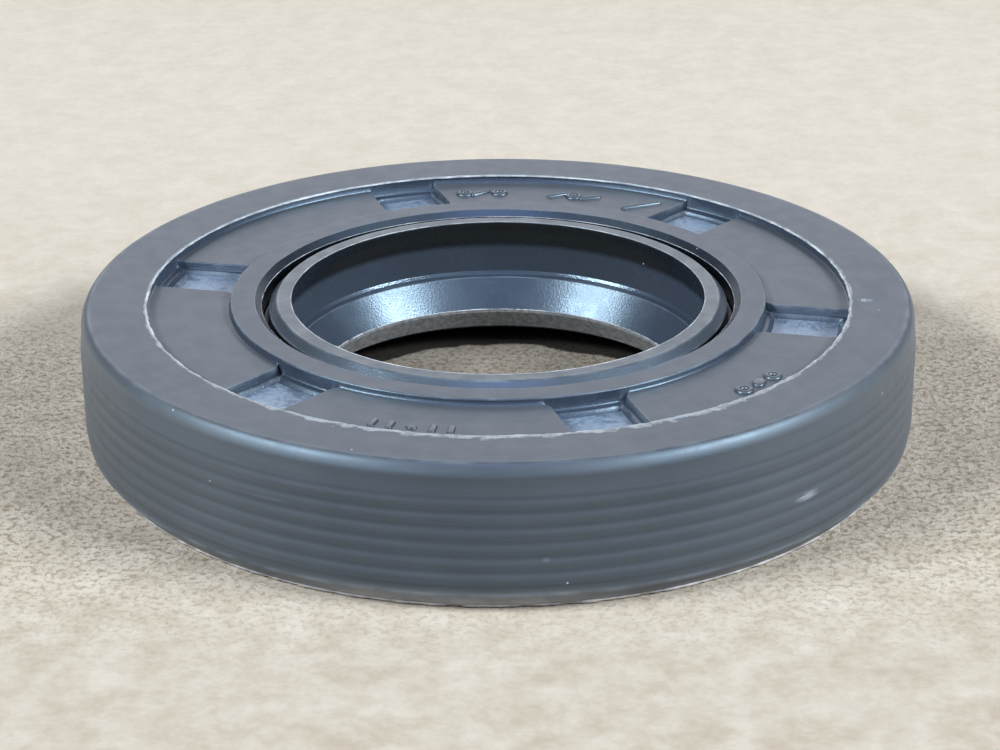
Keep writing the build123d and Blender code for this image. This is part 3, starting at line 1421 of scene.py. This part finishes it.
@dataclass(frozen=True)
class FloorFinish:
    """Plain pale board: soft patches all over, fibres that show beside the seal, painted shade in its bore,
    and painted light that pales it towards the back and beside the seal.
    """

    pale: Colour = (206, 195, 182)
    fleck: Colour = (183, 170, 154)
    pit: Colour = (134, 122, 104)
    pile: float = 0.12
    focus: float = -3.0
    focus_depth: tuple[float, float] = (9.0, 23.0)
    far_pile: float = 0.08
    fibre_scale: float = 3.1
    flecked: tuple[float, float] = (0.55, 0.25)
    pitted: float = 0.85
    # Painted light: the floor's colour rises from front to back.
    slope: tuple[float, float] = (0.91, 1.13)
    bright_near: float = 1.1
    # Painted shade under the seal: its reach, its ragged edge and the factors it runs between.
    bore: float = 18.0
    shade_edge: tuple[float, float] = (9.9, 10.2)
    shade: tuple[float, float] = (0.66, 0.05)
    roughness: float = 0.85
    sheen: float = 0.2

    def material(self) -> bpy.types.Material:
        """Makes the material.

        Returns:
            The floor.
        """
        made = Material("pale floor")
        place = made.effect(EFFECTS.place())
        along = made.split(place["Point"])["Y"]
        away = made.maths("ABSOLUTE", made.maths("SUBTRACT", along, self.focus))
        near = made.ramp(away, *self.focus_depth, 1.0, self.far_pile)
        fibre = made.noise(place["Point"], self.fibre_scale, 4.0, 0.68, Distortion=0.35)
        broad, fine = made.mottle(size=2.6, seed=31.0), made.mottle(size=0.9, seed=32.0)
        flecks = made.times(made.maths("ADD", broad, fine), made.ramp(along, -10.0, 40.0, *self.flecked))
        pits = made.times(made.ramp(fibre, 0.45, 0.64, 0.0, self.pitted), near)
        colour = made.coats(self.pale, (flecks, self.fleck), (pits, self.pit))
        wavy = made.maths("ADD", place["Radius"], made.times(broad, 0.5))
        # Painted light lifts the floor beside the seal, and painted shade darkens it in the bore.
        open_light = made.between(near, 1.0, self.bright_near)
        bore_light = made.ramp(wavy, *self.shade_edge, *self.shade)
        under = made.maths("LESS_THAN", place["Radius"], self.bore)
        # Painted light: paler towards the back.
        slope = made.ramp(along, -40.0, 90.0, *self.slope)
        light = made.times(slope, made.between(under, open_light, bore_light))
        feeds = {
            "Base Color": made.scaled(colour, light),
            "Roughness": self.roughness,
            "Specular IOR Level": self.sheen,
        }
        return made.finish(feeds, made.times(fibre, near), self.pile)


# Meshes


def quads(rows: int, columns: int, rows_close: bool, columns_close: bool) -> np.ndarray:
    """Joins a lattice of points, numbered row by row, with four-sided faces.

    Args:
        rows: Rows in the lattice.
        columns: Points in each row.
        rows_close: Whether the last row joins the first.
        columns_close: Whether the last column joins the first.

    Returns:
        The faces, one to a line.
    """
    number = np.arange(rows * columns).reshape(rows, columns)
    number = np.pad(number, ((0, int(rows_close)), (0, int(columns_close))), "wrap")
    corners = number[:-1, :-1], number[:-1, 1:], number[1:, 1:], number[1:, :-1]
    return np.stack(corners, axis=-1).reshape(-1, 4)


def mesh_object(name: str, points: np.ndarray, faces: Sequence[Sequence[int]]) -> bpy.types.Object:
    """Makes a smooth mesh object from points in mm.

    Args:
        name: The object's name.
        points: The points.
        faces: The faces as point numbers.

    Returns:
        The object, linked to the scene.
    """
    mesh = bpy.data.meshes.new(name)
    mesh.from_pydata((np.asarray(points) * MM).tolist(), [], faces)
    mesh.validate()
    mesh.shade_smooth()
    made = bpy.data.objects.new(name, mesh)
    bpy.context.scene.collection.objects.link(made)
    return made


def grown(
    name: str, tree: bpy.types.NodeTree, lengths: dict[str, float], **values: float
) -> bpy.types.Object:
    """Makes a piece by a geometry tree that draws it from nothing.

    Args:
        name: The piece's name.
        tree: The geometry tree.
        lengths: Input name, with _ for a space, to a length in mm.
        **values: The same for what is no length.

    Returns:
        The piece.
    """
    piece = mesh_object(name, np.zeros((1, 3)), [])
    run_nodes(piece, tree, **{key: length * MM for key, length in lengths.items()}, **values)
    piece.data.shade_smooth()
    return piece


def run_nodes(made: bpy.types.Object, tree: bpy.types.NodeTree, **values: object) -> None:
    """Runs a geometry tree on an object and keeps the plain mesh.

    Args:
        made: The object, whose mesh is the tree's first input.
        tree: The geometry tree.
        **values: Input name, with _ for a space, to value.
    """
    modifier = made.modifiers.new(tree.name, "NODES")
    modifier.node_group = tree
    for item in tree.interface.items_tree:
        key = item.name.replace(" ", "_")
        if item.in_out == "INPUT" and key in values:
            modifier[item.identifier] = values[key]
    graph = bpy.context.evaluated_depsgraph_get()
    seen = made.evaluated_get(graph)
    result = bpy.data.meshes.new_from_object(seen, preserve_all_data_layers=True, depsgraph=graph)
    made.modifiers.clear()
    old, made.data = made.data, result
    result.name = made.name
    bpy.data.meshes.remove(old)


def finish_piece(
    piece: bpy.types.Object, material: bpy.types.Material, replaced: Sequence[str] = ()
) -> None:
    """Dresses a piece and ties it to the frame.

    Args:
        piece: The piece.
        material: Its material.
        replaced: The CAD nodes it stands for.
    """
    piece.data.materials.clear()
    piece.data.materials.append(material)
    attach(piece, BODY)
    if replaced:
        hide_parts(*replaced)
    log.info("%s: %d faces", piece.name, len(piece.data.polygons))


# Pieces


@dataclass(frozen=True)
class Skin:
    """A stretch of a sector's skin: its points, their edge marks and the faces between them."""

    points: np.ndarray
    edge: np.ndarray
    faces: np.ndarray

    def __add__(self, other: "Skin") -> "Skin":
        """Puts two skins together.

        Args:
            other: The second skin.

        Returns:
            Both, with the second's points numbered after the first's.
        """
        return Skin(
            np.vstack([self.points, other.points]),
            np.concatenate([self.edge, other.edge]),
            np.vstack([self.faces, other.faces + len(self.points)]),
        )


@dataclass
class RubberBody:
    """The rubber body, made as one sector with a pocket and repeated round the axis."""

    sizes: SealSizes
    finish: RubberFinish
    first_pocket: float = 47.7
    pockets: int = 6
    fade: tuple[float, float] = (1.9, 1.8)
    ripple: float = 0.012
    ripple_scale: tuple[float, float] = (0.35, 0.9)
    ripple_seed: float = 40.0
    crease: float = 42.0
    weld: float = 0.002

    def __post_init__(self) -> None:
        """Places the pocket that the sector is centred on."""
        self.pocket = Pocket(self.sizes)

    def follow(self, radius: np.ndarray) -> np.ndarray:
        """Says how closely the rows of the air side follow the pockets.

        Args:
            radius: The radius of each row.

        Returns:
            1 across the recess, falling to 0 over the rim's and the raised ring's flats.
        """
        s = self.sizes
        outer = np.clip((s.rim_inner + self.fade[0] - radius) / self.fade[1], 0, 1)
        inner = np.clip((radius - s.ring_inner - 0.1) / (s.ring_width - 0.2), 0, 1)
        share = np.minimum(outer, inner)
        return share * share * (3 - 2 * share)

    def lattice(self, path: Path, share: np.ndarray, window_rows: np.ndarray, recess: np.ndarray) -> Skin:
        """Turns a closed section into a sector of skin, open where the steel shows.

        Args:
            path: The section.
            share: How closely each row follows the pocket.
            window_rows: The window share of each row.
            recess: Whether each row's height steps down in the pocket.

        Returns:
            The skin.
        """
        angles, (in_pocket, in_window, marks) = self.pocket.columns(path.points[:, 0], share)
        radius, height = path.points[:, :1], path.points[:, 1:]
        windows = np.minimum(window_rows[:, None], in_window[None, :])
        drop = self.pocket.depth * in_pocket[None, :] + self.pocket.window_drop * windows
        height = height - drop * recess[:, None]
        edge = np.maximum(path.edge[:, None], marks[None, :] * recess[:, None])
        points = np.stack([radius * np.cos(angles), radius * np.sin(angles), height], axis=-1)
        faces = quads(*angles.shape, rows_close=True, columns_close=False)
        shown = ~(windows.ravel() >= 1)[faces].all(axis=1)
        return Skin(points.reshape(-1, 3), edge.ravel(), faces[shown])

    def outside(self) -> Skin:
        """Builds the sector's outer skin.

        Returns:
            The skin.
        """
        section = BodySection(self.sizes)
        before = section.heel() + section.ribs() + section.rim()
        radius, window, lift = self.pocket.rows()
        recess = Path.plain(np.column_stack([radius, self.sizes.pad_height + lift]))
        after = section.ring() + section.dust_lip() + section.main_lip() + section.seat() + section.back()
        path = before + recess + after
        share = self.follow(path.points[:, 0]) * (path.points[:, 1] > self.sizes.pad_height - 0.1)
        around = len(before), len(after)
        return self.lattice(path, share, np.pad(window, around), np.pad(np.ones(len(recess)), around))

    def hollow(self) -> Skin:
        """Builds the skin of the hollow that holds the steel ring, with the windows left out of its roof.

        Returns:
            The skin.
        """
        s = self.sizes
        radius, window, _ = self.pocket.rows()
        flange, inner = s.gap_outer + s.nose_cover, s.case_radius - s.steel
        bend, under = s.bend_radius + s.steel, s.case_top - s.steel
        roof = [flange, *radius[window >= 1][::-1]]
        path = (
            Path.plain([(r, s.case_top) for r in roof])
            + Path.arc((s.case_radius - bend, s.case_top - bend), bend, 90, 0, 5)
            + Path.plain([(s.case_radius, s.case_foot), (inner, s.case_foot)])
            + Path.arc((inner - s.bend_radius, under - s.bend_radius), s.bend_radius, 0, 90, 3)
            + Path.plain([(flange, under)])
        )
        row = np.arange(len(path))
        windows = ((row > 0) & (row < len(roof))).astype(float)
        return self.lattice(path, self.follow(path.points[:, 0]) * (row < len(roof)), windows, row * 0)

    def repeat_tree(self) -> bpy.types.NodeTree:
        """Builds the tree that sets the sectors round the axis and welds them.

        Returns:
            The geometry tree.
        """
        sockets = {"Sector": "Geometry", "Count": 6, "First_Angle": 0.0, "Weld": 0.000001}
        tree = Tree.group("sectors round the axis", "Geometry", **sockets, Material="Material")
        sector, count, first, weld, material = tree.taken
        points = tree.add("GeometryNodePoints", {"Count": count}).outputs[0]
        index = tree.add("GeometryNodeInputIndex").outputs[0]
        turn = tree.maths("MULTIPLY_ADD", index, tree.maths("DIVIDE", 2 * math.pi, count), first)
        feeds = {"Points": points, "Instance": sector, "Rotation": tree.join(Z=turn)}
        placed = tree.add("GeometryNodeInstanceOnPoints", feeds).outputs[0]
        joined = tree.add("GeometryNodeRealizeInstances", {"Geometry": placed}).outputs[0]
        welded = tree.add("GeometryNodeMergeByDistance", {"Geometry": joined, "Distance": weld}).outputs[0]
        return tree.dressed(welded, material)

    def build(self) -> None:
        """Makes the body's mesh and gives it its rubber."""
        skin = self.outside() + self.hollow()
        piece = mesh_object("rubber_seal_body", skin.points, skin.faces.tolist())
        attribute = piece.data.attributes.new(EDGE, "FLOAT", "POINT")
        attribute.data.foreach_set("value", skin.edge.astype(np.float32))
        first = math.radians(self.first_pocket)
        run_nodes(piece, self.repeat_tree(), Count=self.pockets, First_Angle=first, Weld=self.weld * MM)
        self.relax(piece.data)
        piece.data.set_sharp_from_angle(angle=math.radians(self.crease))
        finish_piece(piece, self.finish.material(self.sizes), ["rubber_body"])

    def relax(self, mesh: bpy.types.Mesh) -> None:
        """Gives the outside the slight unevenness of moulded rubber, always inwards.

        Args:
            mesh: The body's mesh.
        """
        points = np.empty(len(mesh.vertices) * 3)
        mesh.vertices.foreach_get("co", points)
        points = points.reshape(-1, 3) / MM
        radius = np.hypot(points[:, 0], points[:, 1])
        across, up = self.ripple_scale
        for n in np.flatnonzero((radius > self.sizes.land - 0.5) & (points[:, 2] > 0.2)):
            x, y, z = points[n]
            spot = Vector((x * across, y * across, z * up + self.ripple_seed))
            depth = self.ripple * (0.5 + 0.5 * noise.noise(spot))
            points[n, :2] *= 1 - depth / radius[n]
        mesh.vertices.foreach_set("co", (points * MM).ravel())
        mesh.update()


@dataclass
class SteelCase:
    """The pressed steel ring: its CAD solid, which shows at the bottom of the pockets."""

    finish: CaseFinish

    def build(self) -> None:
        """Gives the CAD node its coated steel."""
        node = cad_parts["steel_case"]
        node.data.materials.clear()
        node.data.materials.append(self.finish.material())
        log.info("steel_case: coated")


@dataclass
class GarterSpring:
    """The closed coil of wire that presses the main lip onto the shaft."""

    sizes: SealSizes
    finish: WireFinish
    wire: float = 0.35
    wire_sides: int = 8
    turns: int = 190
    points_per_turn: int = 14

    def coil_tree(self) -> bpy.types.NodeTree:
        """Builds the tree that winds the wire round the ring.

        Returns:
            The geometry tree.
        """
        lengths = {"Ring_Radius": 1.0, "Coil_Radius": 0.1, "Height": 0.0, "Wire_Radius": 0.05}
        counts = {"Wire_Sides": 8, "Turns": 10, "Points_per_Turn": 12}
        sockets = {"Mesh": "Geometry", **lengths, **counts, "Material": "Material"}
        tree = Tree.group("coiled wire", "Geometry", **sockets)
        _, ring, coil, height, wire, sides, turns, per_turn, material = tree.taken
        count = tree.times(turns, per_turn)
        index = tree.add("GeometryNodeInputIndex").outputs[0]
        around = tree.maths("DIVIDE", tree.times(index, 2 * math.pi), count)
        wound = tree.times(around, turns)
        reach = tree.maths("MULTIPLY_ADD", tree.maths("COSINE", wound), coil, ring)
        spot = tree.join(
            X=tree.times(tree.maths("COSINE", around), reach),
            Y=tree.times(tree.maths("SINE", around), reach),
            Z=tree.maths("MULTIPLY_ADD", tree.maths("SINE", wound), coil, height),
        )
        path = tree.add("GeometryNodeSetPosition", {"Geometry": tree.circle(count, 1.0), "Position": spot})
        feeds = {"Curve": path.outputs[0], "Profile Curve": tree.circle(sides, wire)}
        return tree.dressed(tree.add("GeometryNodeCurveToMesh", feeds).outputs[0], material)

    def build(self) -> None:
        """Winds the spring."""
        s = self.sizes
        wire = self.wire / 2
        lengths = {"Ring_Radius": s.spring_radius, "Coil_Radius": s.coil_radius - wire}
        lengths |= {"Height": s.spring_height, "Wire_Radius": wire}
        counts = {"Turns": self.turns, "Points_per_Turn": self.points_per_turn}
        tree = self.coil_tree()
        piece = grown("garter_spring_coil", tree, lengths, Wire_Sides=self.wire_sides, **counts)
        finish_piece(piece, self.finish.material(), ["garter_spring"])


@dataclass(frozen=True)
class FlashLine:
    """A thin ragged fin of rubber that the mould leaves where its halves meet.

    It has its circle, half its breadth and height, how far it wanders, and the size of its patches.
    """

    name: str
    radius: float
    height: float
    breadth: float
    rise: float
    wander: float
    patch: float
    seed: float
    worn: bool = False


@dataclass
class MouldFlash:
    """The flash along the rim's inner edge, the raised ring, the dust lip, the sealing lip and the heel."""

    sizes: SealSizes
    finish: FlashFinish
    worn: FlashFinish
    points: int = 1080
    sides: int = 6

    def lines(self) -> list[FlashLine]:
        """Lists the flash lines.

        Returns:
            One entry for each line.
        """
        s = self.sizes
        heel = s.land - s.lead_in_depth + 0.1
        return [
            FlashLine("rim_flash", s.rim_inner + 0.01, s.width - 0.06, 0.13, 0.06, 0.03, 1.1, 3.0),
            FlashLine("gap_flash", s.gap_outer + 0.01, s.ring_foot, 0.022, 0.022, 0.01, 1.0, 8.0),
            FlashLine("dust_lip_flash", s.dust_lip[0] + 0.03, s.dust_tip, 0.026, 0.02, 0.01, 0.8, 28.0),
            FlashLine("lip_flash", s.lip_radius + 0.02, s.lip_land_top, 0.045, 0.045, 0.012, 0.4, 13.0),
            FlashLine("heel_flash", heel, 0.13, 0.12, 0.1, 0.07, 0.9, 18.0, worn=True),
        ]

    def fin_tree(self) -> bpy.types.NodeTree:
        """Builds the tree that runs a ragged fin round a circle.

        Returns:
            The geometry tree.
        """
        lengths = {"Radius": 1.0, "Height": 0.0, "Breadth": 0.1, "Rise": 0.1, "Wander": 0.0, "Patch": 1.0}
        rest = {"Seed": 0.0, "Points": 720, "Sides": 6, "Material": "Material"}
        tree = Tree.group("ragged fin", "Geometry", Mesh="Geometry", **lengths, **rest)
        _, radius, height, breadth, rise, wander, patch, seed, count, sides, material = tree.taken
        place = tree.add("GeometryNodeInputPosition").outputs[0]
        scale = tree.maths("DIVIDE", 1.0, patch)
        coarse = tree.noise(place, scale, 3.0, 0.65, W=seed)
        shift = tree.times(tree.maths("SUBTRACT", coarse, 0.5), tree.times(wander, 4.0))
        offset = tree.vector("ADD", tree.scaled(tree.vector("NORMALIZE", place), shift), tree.join(Z=height))
        feeds = {"Geometry": tree.circle(count, radius), "Offset": offset}
        bent = tree.add("GeometryNodeSetPosition", feeds).outputs[0]
        thick = tree.noise(place, scale, 4.0, 0.7, W=tree.maths("ADD", seed, 50.0))
        feeds = {"Geometry": tree.circle(sides, 1.0), "Scale": tree.join(X=breadth, Y=rise, Z=1.0)}
        profile = tree.add("GeometryNodeTransform", feeds).outputs[0]
        feeds = {"Curve": bent, "Profile Curve": profile, "Scale": tree.ramp(thick, 0.34, 0.66, 0.42, 1.0)}
        return tree.dressed(tree.add("GeometryNodeCurveToMesh", feeds).outputs[0], material)

    def build(self) -> None:
        """Runs each line round its circle and gives it its paler rubber, duller where it is worn."""
        tree = self.fin_tree()
        fresh, worn = self.finish.material(), self.worn.material()
        for line in self.lines():
            names = ("Radius", "Height", "Breadth", "Rise", "Wander", "Patch")
            lengths = {name: getattr(line, name.lower()) for name in names}
            piece = grown(line.name, tree, lengths, Seed=line.seed, Points=self.points, Sides=self.sides)
            finish_piece(piece, worn if line.worn else fresh)


@dataclass(frozen=True)
class RaisedMark:
    """One raised mark on a pad: its kind, its middle, its half length and breadth, its turn and rise."""

    kind: Mark
    angle: float
    radius: float
    length: float
    breadth: float
    turn: float = 0.0
    rise: float = 0.15


@dataclass
class MouldMarks:
    """Plain raised pips, bars and rings on the pads."""

    sizes: SealSizes
    finish: RubberFinish
    sunk: float = 0.05
    lean: float = 0.8
    first_turn: float = 0.15
    hoop_wide: float = 0.15
    crease: float = 60.0
    marks: tuple[RaisedMark, ...] = (
        RaisedMark(Mark.RING, 96.6, 15.1, 0.46, 0.46),
        RaisedMark(Mark.BAR, 93.4, 15.1, 0.62, 0.16, 35.0),
        RaisedMark(Mark.RING, 89.6, 15.1, 0.46, 0.46),
        RaisedMark(Mark.BAR, 77.6, 15.0, 0.62, 0.16, 35.0),
        RaisedMark(Mark.RING, 74.2, 15.0, 0.46, 0.46),
        RaisedMark(Mark.BAR, 70.8, 15.0, 0.62, 0.16, 35.0),
        RaisedMark(Mark.BAR, 59.6, 15.0, 1.15, 0.15, 52.0),
        RaisedMark(Mark.RING, 313.8, 15.8, 0.44, 0.44),
        RaisedMark(Mark.PIP, 317.6, 15.8, 0.42, 0.3, 20.0),
        RaisedMark(Mark.RING, 321.4, 15.8, 0.44, 0.44),
        RaisedMark(Mark.BAR, 249.5, 15.6, 0.42, 0.15, 90.0, 0.08),
        RaisedMark(Mark.BAR, 252.5, 15.6, 0.42, 0.15, 90.0, 0.08),
        RaisedMark(Mark.PIP, 256.0, 15.6, 0.24, 0.2, 0.0, 0.08),
        RaisedMark(Mark.BAR, 259.5, 15.6, 0.42, 0.15, 90.0, 0.08),
        RaisedMark(Mark.BAR, 262.5, 15.6, 0.42, 0.15, 90.0, 0.08),
    )

    def layer(self, mark: RaisedMark, height: float, inset: float, steps: int = 9) -> np.ndarray:
        """Draws one level of a bar with round ends about the origin.

        Args:
            mark: The mark.
            height: The level's height.
            inset: How far it stands in from the mark's foot.
            steps: Straight pieces in each end.

        Returns:
            The outline, anticlockwise.
        """
        turns = np.linspace(-math.pi / 2, math.pi / 2, steps + 1)
        end = np.column_stack([np.cos(turns), np.sin(turns)]) * (mark.breadth - inset)
        right = end + [max(mark.length - mark.breadth, 0), 0]
        outline = np.vstack([right, -right])
        return np.column_stack([outline, np.full(len(outline), height)])

    def dome(self, mark: RaisedMark) -> tuple[np.ndarray, list[list[int]]]:
        """Makes a closed bar or pip with a rounded top.

        Args:
            mark: The mark.

        Returns:
            The points about the origin and the faces.
        """
        layers = [self.layer(mark, -self.sunk, 0.0)]
        for turn in np.linspace(self.first_turn, math.pi / 2, 5):
            inset = mark.rise * self.lean * (1 - math.cos(turn))
            layers.append(self.layer(mark, mark.rise * math.sin(turn), inset))
        count = len(layers[0])
        sides = quads(len(layers), count, rows_close=False, columns_close=True).tolist()
        last = (len(layers) - 1) * count
        caps = [list(range(count))[::-1], list(range(last, last + count))]
        return np.vstack(layers), [caps[0], *sides, caps[1]]

    def hoop(
        self, mark: RaisedMark, sides: int = 28, around: int = 10
    ) -> tuple[np.ndarray, list[list[int]]]:
        """Makes a closed raised ring.

        Args:
            mark: The mark.
            sides: Pieces round the ring.
            around: Pieces round its section.

        Returns:
            The points about the origin and the faces.
        """
        turns, rolls = (np.arange(count) * 2 * math.pi / count for count in (sides, around))
        turn, roll = np.meshgrid(turns, rolls, indexing="ij")
        reach = mark.length - self.hoop_wide + self.hoop_wide * np.cos(roll)
        points = np.stack([reach * np.cos(turn), reach * np.sin(turn), mark.rise * np.sin(roll)], axis=-1)
        faces = quads(sides, around, rows_close=True, columns_close=True)[:, [0, 3, 2, 1]]
        return points.reshape(-1, 3), faces.tolist()

    def build(self) -> None:
        """Makes the marks as one mesh on the pads and gives them glossier rubber."""
        points, faces = np.empty((0, 3)), []
        for mark in self.marks:
            local, local_faces = self.hoop(mark) if mark.kind is Mark.RING else self.dome(mark)
            turn = Matrix.Rotation(math.radians(mark.angle + 90 + mark.turn), 3, "Z")
            placed = local @ np.array(turn).T + polar(mark.radius, mark.angle, self.sizes.pad_height)
            faces += [[len(points) + corner for corner in face] for face in local_faces]
            points = np.vstack([points, placed])
        piece = mesh_object("mould_marks", points, faces)
        piece.data.set_sharp_from_angle(angle=math.radians(self.crease))
        finish_piece(piece, self.finish.material(self.sizes, "glossy raised rubber"))


# Studio


def bearing(azimuth: float, elevation: float) -> Vector:
    """Gives a direction from the seal.

    Args:
        azimuth: Degrees from +Y towards +X.
        elevation: Degrees above the floor.

    Returns:
        A unit vector.
    """
    turn, rise = math.radians(azimuth), math.radians(elevation)
    return Vector((math.sin(turn) * math.cos(rise), math.cos(turn) * math.cos(rise), math.sin(rise)))


@dataclass(frozen=True)
class Glow:
    """A brighter part of the sky: its place, the half widths of its middle and rim, strength and colour."""

    azimuth: float
    elevation: float
    core: float
    reach: float
    strength: float
    colour: Light = (0.85, 0.94, 1.0)


@dataclass(frozen=True)
class SoftBox:
    """A soft lamp that looks at the seal, placed by azimuth from +Y towards +X and by elevation."""

    name: str
    azimuth: float
    elevation: float
    distance: float
    width: float
    height: float
    power: float
    colour: Light = (0.88, 0.95, 1.0)

    def build(self) -> None:
        """Adds the lamp."""
        data = bpy.data.lights.new(self.name, "AREA")
        data.shape = "RECTANGLE"
        data.size, data.size_y = self.width, self.height
        data.energy = self.power
        data.color = self.colour
        lamp = bpy.data.objects.new(self.name, data)
        away = bearing(self.azimuth, self.elevation)
        lamp.location = away * self.distance
        lamp.rotation_euler = away.to_track_quat("Z", "Y").to_euler()
        bpy.context.scene.collection.objects.link(lamp)


@dataclass
class Studio:
    """The floor, the lamps, the sky and the camera."""

    floor: FloorFinish = field(default_factory=FloorFinish)
    floor_half: float = 1500.0
    lamps: tuple[SoftBox, ...] = (
        SoftBox("right soft box", 114, 35, 0.5, 0.24, 0.11, 3.25),
        SoftBox("left soft box", -115, 39, 0.5, 0.25, 0.11, 2.95),
    )
    sky: Light = (0.085, 0.094, 0.1)
    glows: tuple[Glow, ...] = (
        Glow(0, 24, 10, 36, 1.5, (0.86, 0.83, 0.88)),
        Glow(180, 5, 20, 60, 0.55, (0.8, 0.9, 1.2)),
        Glow(180, 72, 6, 20, 4.2, (0.55, 0.68, 1.15)),
        Glow(120, 5, 12, 40, 3.2),
        Glow(-120, 5, 12, 40, 3.2),
        Glow(145, 5, 10, 40, 1.5, (0.85, 0.9, 1.1)),
        Glow(-145, 5, 10, 40, 1.6, (0.85, 0.9, 1.1)),
        Glow(115, 35, 15, 48, 1.7, (0.78, 0.92, 1.1)),
        Glow(-117, 37, 15, 45, 1.15, (0.78, 0.92, 1.1)),
    )
    backdrop: Colour = (229, 224, 213)
    focal_length: float = 96.52
    camera_distance: float = 132.35
    camera_elevation: float = 24.306
    heading: float = -0.0353
    tilt: float = -23.313
    roll: float = -0.346
    sensor: float = 36.0
    clip: tuple[float, float] = (0.01, 20.0)

    def build_floor(self) -> None:
        """Lays the floor."""
        half = self.floor_half
        corners = np.array([(-half, -half, 0), (half, -half, 0), (half, half, 0), (-half, half, 0)])
        floor = mesh_object("floor", corners, [[0, 1, 2, 3]])
        floor.data.materials.append(self.floor.material())

    def build_sky(self) -> None:
        """Lights the scene softly with a few glows, and shows the backdrop to the camera."""
        world = bpy.data.worlds.new("studio")
        world.use_nodes = True
        bpy.context.scene.world = world
        tree = Tree(world.node_tree)
        world.node_tree.nodes.clear()
        way = tree.add("ShaderNodeTexCoord").outputs["Generated"]
        glare: object = (0.0, 0.0, 0.0)
        for glow in self.glows:
            near = tree.vector("DOT_PRODUCT", way, tuple(bearing(glow.azimuth, glow.elevation)))
            edges = (math.cos(math.radians(angle)) for angle in (glow.reach, glow.core))
            share = tree.ramp(near, *edges, 0.0, glow.strength)
            glare = tree.vector("ADD", glare, tree.scaled(glow.colour, share))
        ray = tree.add("ShaderNodeLightPath").outputs
        colour = tree.vector("ADD", self.sky, tree.scaled(glare, ray["Is Glossy Ray"]))
        lit = tree.add("ShaderNodeBackground", {"Color": colour, "Strength": 1.0}).outputs[0]
        seen = tree.add("ShaderNodeBackground", {"Color": linear(self.backdrop), "Strength": 1.0}).outputs[0]
        mixed = tree.add("ShaderNodeMixShader", {0: ray["Is Camera Ray"], 1: lit, 2: seen}).outputs[0]
        tree.add("ShaderNodeOutputWorld", {"Surface": mixed})

    def build_camera(self) -> None:
        """Sets the camera."""
        data = bpy.data.cameras.new("camera")
        data.lens = self.focal_length
        data.sensor_width = self.sensor
        data.clip_start, data.clip_end = self.clip
        camera = bpy.data.objects.new("camera", data)
        elevation = math.radians(self.camera_elevation)
        reach = self.camera_distance * MM
        place = Vector((0, -reach * math.cos(elevation), reach * math.sin(elevation)))
        stand = Matrix.Translation(place)
        for angle, axis in ((self.heading, "Z"), (90 + self.tilt, "X"), (self.roll, "Z")):
            stand = stand @ Matrix.Rotation(math.radians(angle), 4, axis)
        camera.matrix_world = stand
        bpy.context.scene.collection.objects.link(camera)
        bpy.context.scene.camera = camera

    def build(self) -> None:
        """Builds the whole studio."""
        bpy.context.scene.view_settings.view_transform = "Standard"
        self.build_floor()
        for lamp in self.lamps:
            lamp.build()
        self.build_sky()
        self.build_camera()
        log.info("studio: %d lamps", len(self.lamps))


def main() -> None:
    """Builds and dresses each piece in order."""
    logging.basicConfig(level=logging.INFO, format="%(name)s: %(message)s")
    sizes = SealSizes.from_frame()
    worn_flash = FlashFinish("worn heel flash", (116, 116, 118), (190, 187, 184), 0.6)
    RubberBody(sizes, RubberFinish()).build()
    SteelCase(CaseFinish()).build()
    GarterSpring(sizes, WireFinish()).build()
    MouldFlash(sizes, FlashFinish(), worn_flash).build()
    MouldMarks(sizes, RubberFinish(satin=0.24, recessed=False)).build()
    Studio().build()


if __name__ == "__main__":
    main()
